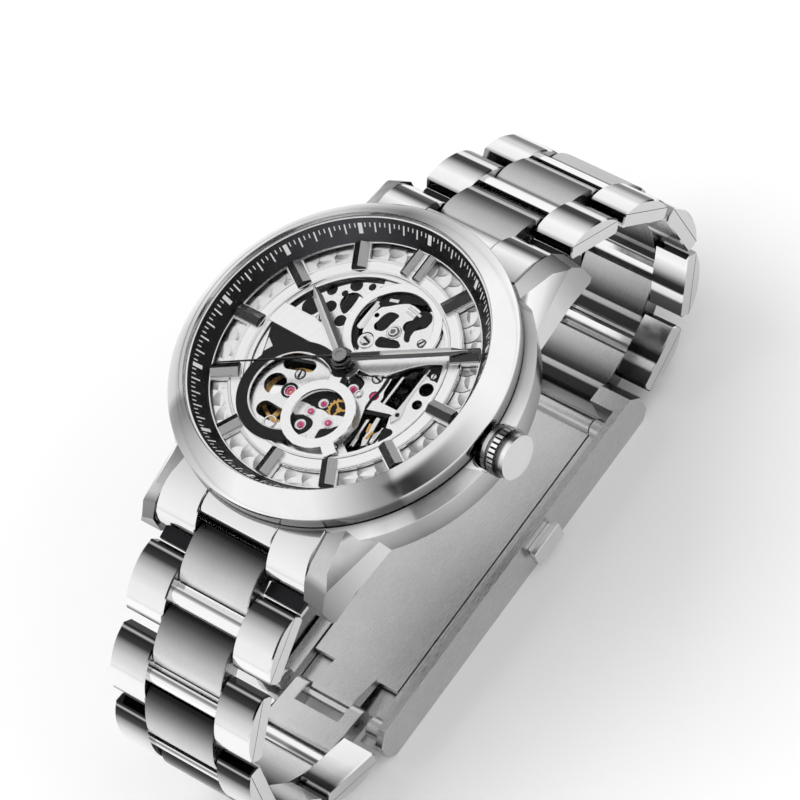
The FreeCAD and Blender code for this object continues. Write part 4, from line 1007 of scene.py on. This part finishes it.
def spot(shape, layer, at, z, size, clock):
    """A shallow turned dish, tilted a little so that each lies over the one before."""
    sides = 20
    tilt_x, tilt_y = turned(0.035, 0.0, clock)
    rings = []
    for radius, drop in ((0.0, 0.0), (size * 0.5, 0.012), (size, 0.03)):
        points = circle((0, 0), radius, sides) if radius else [(0, 0)]
        rings.append(shape.ring((at[0] + x, at[1] + y, z + drop + tilt_x * x + tilt_y * y)
                                for x, y in points))
    for a, b in zip(rings, rings[1:]):
        shape.join(a, b, sides)
    for vert in sum(rings, []):
        for loop in vert.link_loops:
            loop[layer].uv = ((vert.co.x - at[0]) / size, (vert.co.y - at[1]) / size)


# ---- hands ----
def build_hand(node, clock, length, width, base):
    """A faceted hand: two slopes, one lit and one with painted shade, with a pale line set along
    the ridge.
    """
    shape = Shape("hand_lit_slope", "hand_dark", "lume", "hand")
    edge, ridge = base + 0.10, base + 0.22
    rows = []
    for y, share in ((0.9, 1.0), (length - 2.0, 0.92), (length - 0.04, 0.06)):
        half = width / 2 * share
        groove = min(0.11, half * 0.5)
        rows.append([(*turned(x, y, clock), z) for x, z in (
            (-half, base), (-half, edge), (-groove, ridge), (groove, ridge), (half, edge),
            (half, base))])
    shape.loft(rows, (3, 0, 2, 1, 3, 3))
    shape.piece(node + "_blade", "hand_steel", angle=20, instead=node)


def build_hub(node, radius, base, top, hole):
    shape = Shape("hand_dark")
    shape.lathe([(hole, base), (radius, base), (radius, top - 0.06), (radius - 0.06, top),
                 (hole + 0.05, top), (hole, top - 0.05)], sides=40)
    shape.piece(node + "_hub", "hand_steel", nodes[node]["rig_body"], 40)


def build_second_hand():
    """A thin hand with a tail and a turned hub."""
    base, clock, edge = 1.8, 240.0, 0.14
    shape = Shape("hand_thin", "hand")
    rows = []
    for y, half in ((-4.6, 0.22), (-3.6, 0.24), (0.0, 0.2), (8.0, 0.13), (14.46, 0.07)):
        rows.append([(*turned(x * half, y, clock), base + z)
                     for x, z in ((-1, 0), (-0.6, edge), (0.6, edge), (1, 0))])
    shape.loft(rows, (0, 0, 0, 0))
    shape.lathe([(0, 0.02), (0.85, 0.02), (0.85, 0.22), (0.78, 0.28), (0.42, 0.3), (0.38, 0.22),
                 (0.2, 0.22), (0, 0.3)], sides=36, kinds=(1,) * 8, base=(0, base))
    shape.piece("second_hand_blade", "hand_steel", angle=30, instead="second_hand")


def build_hands():
    build_hand("hour_hand", 304.6, 11.0, 1.2, 0.9)
    build_hand("minute_hand", 60.6, 14.6, 1.08, 1.35)
    build_hub("hour_hand", 1.35, 0.9, 1.2, 0.76)
    build_hub("minute_hand", 1.2, 1.35, 1.66, 0.43)
    build_second_hand()


# ---- movement ----
def dress_movement():
    # The plate's upright walls round its openings are near black: painted shade.
    dressed("main_plate", "plate", 0.05, walls="dark")
    # The bridges' faces that look up towards the dial are near black: painted shade under the
    # plate.
    for node in ("train_bridge", "balance_cock", "rotor"):
        dressed(node, "bridge", 0.02, inside="dark")
    for node, name in (
            ("bridge_screws", "screw"), ("barrel", "barrel_steel"), ("centre_wheel", "works"),
            ("third_wheel", "works"), ("fourth_wheel", "gilt"), ("hour_wheel", "works"),
            ("balance_wheel", "gilt"), ("escape_wheel", "screw"), ("pallet_fork", "screw")):
        dressed(node, name, 0.02)
    dressed("hairspring", "spring", 0)
    dressed("jewels", "ruby", 0.03)
    build_shade_sheets()
    build_bridges()
    build_escape_rim()
    build_screws()
    build_settings()
    build_keyless()
    build_click_work()


def build_shade_sheets():
    """Black sheets laid on the plate: painted shade for its deep openings, and round the bridge
    inside the small ring.
    """
    shape = Shape("black")
    low, high = plate_top - 0.05, plate_top + 0.012
    for outline in (
            [(-0.35, 5.9), (-0.25, 7.2), (0.3, 8.0), (1.7, 8.05), (1.3, 7.0), (1.2, 5.7),
             (0.5, 5.2)],
            [(0.95, 3.9), (1.1, 5.0), (2.4, 4.8), (3.7, 5.2), (4.2, 4.6), (2.6, 3.9), (1.6, 3.5)],
            [(3.2, 8.6), (3.5, 9.7), (4.8, 9.9), (5.5, 8.9), (5.1, 7.8), (4.4, 7.9), (4.2, 6.4),
             (4.7, 5.6), (3.9, 5.5), (3.3, 6.6), (2.75, 7.4), (3.3, 7.9)],
            [(-1.9, 9.1), (-1.2, 9.9), (0.6, 10.7), (2.6, 10.8), (3.9, 10.4), (2.2, 9.95),
             (0.8, 9.3), (-0.8, 8.0), (-1.5, 7.9)],
            [(-2.7, 4.7), (-2.2, 4.9), (-1.5, 4.0), (-0.2, 2.7), (-0.1, 2.1), (-1.3, 2.6),
             (-2.2, 3.5)],
            [(-11.0, 3.4), (-9.6, 6.0), (-7.2, 8.6), (-4.0, 10.6), (-1.9, 11.2), (-4.2, 10.2),
             (-6.4, 8.7), (-8.3, 6.6), (-9.8, 4.6), (-10.3, 3.4)],
            [(1.1, 0.1), (3.0, 0.35), (4.6, 1.0), (6.3, 1.9), (6.2, 1.2), (4.7, 0.65), (3.1, 0.1),
             (1.4, -0.5)],
            [(1.5, -0.8), (2.3, -0.5), (3.2, -0.9), (3.4, -1.6), (2.6, -2.7), (1.7, -2.2)],
            [(5.1, 0.9), (5.6, 1.1), (5.7, -0.6), (5.4, -2.2), (5.5, -3.5), (5.1, -3.4),
             (5.0, -2.0), (5.3, -0.6)],
            [(7.9, 3.3), (9.3, 4.9), (9.95, 5.1), (10.9, 2.9), (10.2, 3.0), (9.3, 3.1)],
            [(8.5, -4.3), (10.1, -4.0), (9.8, -5.8), (9.3, -6.3), (8.8, -5.4)],
            [(5.4, -3.5), (8.6, -2.5), (8.6, -2.9), (5.5, -4.0)]):
        shape.prism(rounded(outline), low, high, 0)
    beside_barrel = [(-5.6, 6.4), (-5.3, 7.6), (-4.2, 8.5), (-4.15, 5.1), (-5.2, 5.5)]
    shape.prism(rounded(beside_barrel, 3), low, high, 0)
    shape.disc((1.35, -6.65), 3.45, low, high, 48, 0)
    for at, radius in (((-5.4, 8.9), 0.75), ((-3.6, 9.5), 0.42), ((-6.0, 7.45), 0.38),
                       ((-7.6, 7.3), 0.55), ((-8.5, 4.4), 1.1), ((-6.5, 5.4), 0.72),
                       ((-4.3, 4.4), 0.72)):
        shape.disc(at, radius, low, high, bevel=0)
    shape.piece("plate_shade_sheets", "dial_black")


def build_bridges():
    """The silver bridge in the small ring, and two turned bearings above the hub."""
    shape = Shape("plate", "polished")
    z = plate_top
    outline = [(-2.1, -5.9), (-0.9, -5.75), (0.0, -5.9), (1.3, -5.6), (2.2, -5.9), (3.0, -5.4),
               (4.6, -5.2), (4.7, -6.2), (3.7, -6.6), (3.3, -7.2), (2.3, -7.6), (2.2, -8.4),
               (2.6, -9.6), (1.3, -10.0), (0.2, -9.7), (1.0, -8.9), (1.25, -8.0), (0.9, -7.3),
               (0.1, -7.15), (-0.8, -7.2), (-1.5, -7.7), (-2.3, -7.2)]
    shape.prism(rounded(outline), z, z + 0.14, 0.05)
    shape.lathe([(0.62, 0), (0.62, 0.1), (0.68, 0.15), (0.9, 0.15), (0.96, 0.1), (0.98, 0)],
                (0.0, 3.6), 40, base=(0, z))
    shape.lathe([(0.3, 0), (0.3, 0.12), (0.34, 0.16), (0.48, 0.16), (0.52, 0.12), (0.54, 0)],
                (2.15, 5.95), 32, (1,) * 6, (0, z))
    shape.piece("plate_bridges", "plate_rhodium")


def build_escape_rim():
    """The gilt rim of the escape wheel with its arms and hub, and two small gilt bars."""
    shape = Shape("gilt")
    centre, count, low, top = (2.7, -4.85), 36, plate_top + 0.02, plate_top + 0.09
    outer = [around(centre, 1.5 if i % 2 else 1.22, 2 * math.pi * i / count)
             for i in range(count)]
    inner = circle(centre, 1.0, count)
    for i in range(count):
        j = (i + 1) % count
        shape.face([(*point, top) for point in (outer[i], outer[j], inner[j], inner[i])])
        for line in (outer, inner):
            p, q = line[i], line[j]
            shape.face([(*p, low), (*q, low), (*q, top), (*p, top)])
    for i in range(3):
        reach = around(centre, 1.05, math.radians(120 * i + 20))
        shape.bar(centre, reach, 0.26, low, top - 0.01)
    shape.disc(centre, 0.34, low, top + 0.04)
    for (x, y), lean in (((6.9, -4.5), 0.25), ((7.75, -5.2), -0.2)):
        shape.bar((x, y), (x + lean, y - 1.1), 0.3, plate_top - 0.25, plate_top - 0.12)
    shape.piece("escape_wheel_rim", "gilt_brass")


def screw_head(shape, at, radius, turn):
    """A domed, polished screw with a real slot; the countersink ring round it and the floor under
    its slot are near black, painted shade.
    """
    z, slot, steps = plate_top, 0.16, 12
    shape.lathe([(0.16, 0), (0.14, 0.02), (0.02, 0.02), (0.02, 0)], at, 32, (1,) * 4, (radius, z))
    start = math.asin(slot)
    for side in (-1, 1):
        outline = []
        for i in range(steps + 1):
            x, y = around((0, 0), radius, start + (math.pi - 2 * start) * i / steps)
            x, y = turned(x, side * y, turn)
            outline.append((at[0] + x, at[1] + y))
        shape.prism(outline[::side], z - 0.02, z + 0.16, radius * 0.14)
    shape.disc(at, radius * 0.98, z - 0.03, z + 0.05, 24, 0, 1)


def build_screws():
    shape = Shape("screw", "dark")
    for at, radius, turn in (((-0.15, 3.85), 0.72, 20), ((-4.2, -3.2), 0.52, 75),
                             ((4.2, 0.35), 0.52, 15), ((-6.7, 3.6), 0.36, 60),
                             ((6.0, 6.2), 0.4, 120), ((-8.6, 1.2), 0.4, 40),
                             ((9.9, 3.4), 0.34, 80), ((5.0, -8.9), 0.4, 10),
                             ((-2.3, 9.7), 0.34, 35), ((1.2, -9.4), 0.4, 60)):
        screw_head(shape, at, radius, turn)
    shape.piece("plate_screws", "screw_steel")


def build_settings():
    """Jewels in turned settings, and the turned cups of the bearings, with a near-black ring of
    painted shade inside each cup.
    """
    stones = Shape("ruby")
    cups = Shape("polished", "dark")
    painted_shade_inside = (1, 0, 0, 0, 0)
    for at, radius, raised in (((-0.1, -6.45), 0.36, 0.14), ((2.6, -6.75), 0.38, 0.14),
                               ((0.6, -5.0), 0.34, 0.01), ((-0.2, -8.3), 0.4, 0.01),
                               ((2.5, -2.0), 0.4, 0)):
        z = plate_top + raised
        stones.lathe([(0.09, 0), (0.09, 0.06), (0.16, 0.1), (radius - 0.05, 0.12),
                      (radius, 0.06), (radius, 0)], at, 28, base=(0, z))
        cups.lathe([(0, 0), (0.02, 0.04), (0.2, 0.1), (0.26, 0.08), (0.28, 0)], at, 32,
                   painted_shade_inside, (radius, z))
    # Its two innermost faces are near black: painted shade.
    cups.lathe([(0, 0), (0.02, 0.05), (0.3, 0.09), (0.36, 0.06), (0.38, 0)], (-4.0, -5.4), 40,
               (1, 1, 0, 0, 0), (0.68, plate_top))
    for at, radius in (((2.25, 5.95), 0.64), ((3.45, -2.2), 0.3), ((-3.6, -9.6), 0.62)):
        cups.lathe([(0, 0), (0.02, 0.08), (0.16, 0.12), (0.24, 0.06), (0.26, 0)], at, 36,
                   painted_shade_inside, (radius, plate_top))
    stones.piece("plate_stones", "ruby")
    cups.piece("plate_settings", "plate_rhodium")


def build_keyless():
    """The winding pinion and the sliding pinion on the stem, and the levers beside them."""
    wheels = Shape("dark")
    toothed_drum(wheels, 7.0, 8.5, 1.15, 18)
    toothed_drum(wheels, 5.7, 6.7, 1.0, 16)
    wheels.piece("stem_pinions", "screw_steel", "crown")
    levers = Shape("screw", "dark")
    z = plate_top
    levers.bar((6.75, -1.9), (6.75, 1.9), 0.3, z - 0.5, z + 0.02)
    levers.prism([(8.85, 3.9), (9.1, 3.9), (9.15, -0.8), (9.5, -1.7), (9.65, -2.6), (9.1, -3.6),
                  (8.6, -2.9), (8.75, -1.6), (8.8, -0.6)], z, z + 0.18, 0.04)
    levers.disc((9.2, -2.4), 0.28, z + 0.18, z + 0.24, 20, 0.03, 1)
    levers.prism([(6.95, -3.4), (7.45, -3.5), (7.95, -6.9), (7.55, -7.3), (7.2, -6.6)],
                 z - 0.62, z - 0.2, 0.05)
    levers.prism([(6.0, -4.2), (6.35, -4.1), (6.5, -7.6), (6.3, -7.9)], z - 0.7, z - 0.3, 0.05)
    levers.prism([(8.3, -4.2), (8.6, -4.3), (8.5, -6.4), (8.25, -6.6)], z - 0.7, z - 0.25, 0.05)
    levers.piece("keyless_levers", "screw_steel")


def toothed_drum(shape, x0, x1, radius, teeth):
    """A small wheel with long teeth along X, with a groove round its middle."""
    sides = teeth * 2
    rings = []
    for along, share in ((0, 0.5), (0, 1.0), (0.55, 1.0), (0.6, 0.72), (0.75, 0.72), (0.8, 1.0),
                         (1, 1.0), (1, 0.5)):
        x = x0 + (x1 - x0) * along
        valley = 0.82 if share == 1.0 else 1.0
        rings.append(shape.ring(
            (x, *around((0, drum_axis), radius * share * (1.0 if i % 2 else valley),
                        math.pi * i / teeth)) for i in range(sides)))
    for a, b in zip(rings, rings[1:] + rings[:1]):
        shape.join(a, b, sides)


def build_click_work():
    """The click, its spring and the small steps round the barrel's bearing."""
    shape = Shape("screw")
    z = plate_top
    shape.prism([(-2.0, 8.3), (-1.6, 8.4), (-1.35, 6.6), (-1.25, 4.8), (-1.6, 4.5), (-1.75, 6.2)],
                z, z + 0.14, 0.04)
    shape.bar((-0.7, 9.05), (0.4, 9.35), 0.42, z, z + 0.2, 0.08)
    shape.bar((1.9, 9.3), (3.9, 8.9), 0.35, z, z + 0.14, 0.04)
    shape.bar((1.9, 8.75), (3.3, 8.5), 0.22, z, z + 0.1, 0.03)
    shape.piece("click_work", "screw_steel")


# ---- stage ----
def direction(azimuth, elevation):
    """Unit vector towards a place round the object, as the camera's angles say it."""
    a, e = math.radians(azimuth), math.radians(elevation)
    return Vector((math.sin(a) * math.cos(e), -math.cos(a) * math.cos(e), math.sin(e)))


def place_camera():
    data = tune(bpy.data.cameras.new("camera"), lens=camera_lens, sensor_width=36,
                clip_start=0.01, clip_end=20)
    camera = add_object("camera", data)
    back = direction(camera_azimuth, camera_elevation)
    aim = Vector((*aim_beside_dial, dial_height)) * MM
    facing = (-back).to_track_quat("-Z", "Y").to_matrix().to_4x4()
    roll = Matrix.Rotation(math.radians(camera_roll), 4, "Z")
    camera.matrix_world = Matrix.Translation(aim + back * camera_distance) @ facing @ roll
    bpy.context.scene.camera = camera


def build_world():
    """A white studio; what falls on surfaces is softer than what the camera and metal see."""
    world = bpy.data.worlds.new("studio")
    bpy.context.scene.world = world
    t = Tree(world)
    t.feed(t.studio_white(world_fill), t.nodes["Background"].inputs["Color"])


def add_lamp(name, azimuth, elevation, size, power):
    data = tune(bpy.data.lights.new(name, "AREA"), shape="RECTANGLE", size=size[0],
                size_y=size[1], energy=power)
    back = direction(azimuth, elevation)
    tune(add_object(name, data), location=watch_middle + back * lamp_distance,
         rotation_mode="QUATERNION", rotation_quaternion=(-back).to_track_quat("-Z", "Y"),
         visible_glossy=False)


def board(name, half_w, half_h, z=0.0):
    mesh = bpy.data.meshes.new(name)
    mesh.from_pydata([(-half_w, -half_h, z), (half_w, -half_h, z), (half_w, half_h, z),
                      (-half_w, half_h, z)], [], [(0, 1, 2, 3)])
    return add_object(name, mesh)


def add_card(name, centre, wide, high, level, soft):
    """A grey board with soft edges that only polished metal sees, for its dark bands."""
    card = board(name, wide / 2 * MM, high / 2 * MM)
    place = Vector(centre) * MM
    back = (place - watch_middle).normalized()
    across = Vector((0, 0, 1)).cross(back).normalized()
    facing = Matrix((across, back.cross(across), back)).transposed().to_4x4()
    card.matrix_world = Matrix.Translation(place) @ facing
    card.data.materials.append(card_material(name + "_grey", level, soft))
    card.visible_camera = card.visible_diffuse = card.visible_shadow = False


def card_material(name, level, soft):
    """A faint glow, clear at the board's edges; soft is the share of the fade at each side."""
    t = Tree()
    t.owner.name = name
    places = t.split(t.node("TexCoord").outputs["Generated"])
    mask = 1.0
    for axis in range(2):
        for start, width in ((0.0, soft[2 * axis]), (1.0, -soft[2 * axis + 1])):
            fade = t.out("MapRange", {"Value": places[axis], "From Min": start,
                                      "From Max": start + width},
                         interpolation_type="SMOOTHSTEP")
            mask = t.math("MULTIPLY", mask, fade)
    t.veil(mask, 1, t.out("Emission", {"Color": rgba(level)}))
    return t.owner


def light_stage():
    build_world()
    for lamp in studio_lamps:
        add_lamp(*lamp)
    for card in studio_cards:
        add_card(*card)


def build_floor():
    """A white floor just under the clasp; it shows white to the camera and keeps a soft shadow."""
    floor = board("floor", floor_half, floor_half, cad_box[0].z - 0.02 * MM)
    t = Tree()
    t.owner.name = "floor_white"
    t.set(Base_Color=t.studio_white(floor_fill), Roughness=0.9, Specular_IOR_Level=0.0)
    floor.data.materials.append(t.owner)


bpy.context.scene.view_settings.view_transform = "Standard"
place_camera()
light_stage()
build_floor()
dress_case()
dress_dial()
build_hands()
dress_movement()
dress_bracelet()
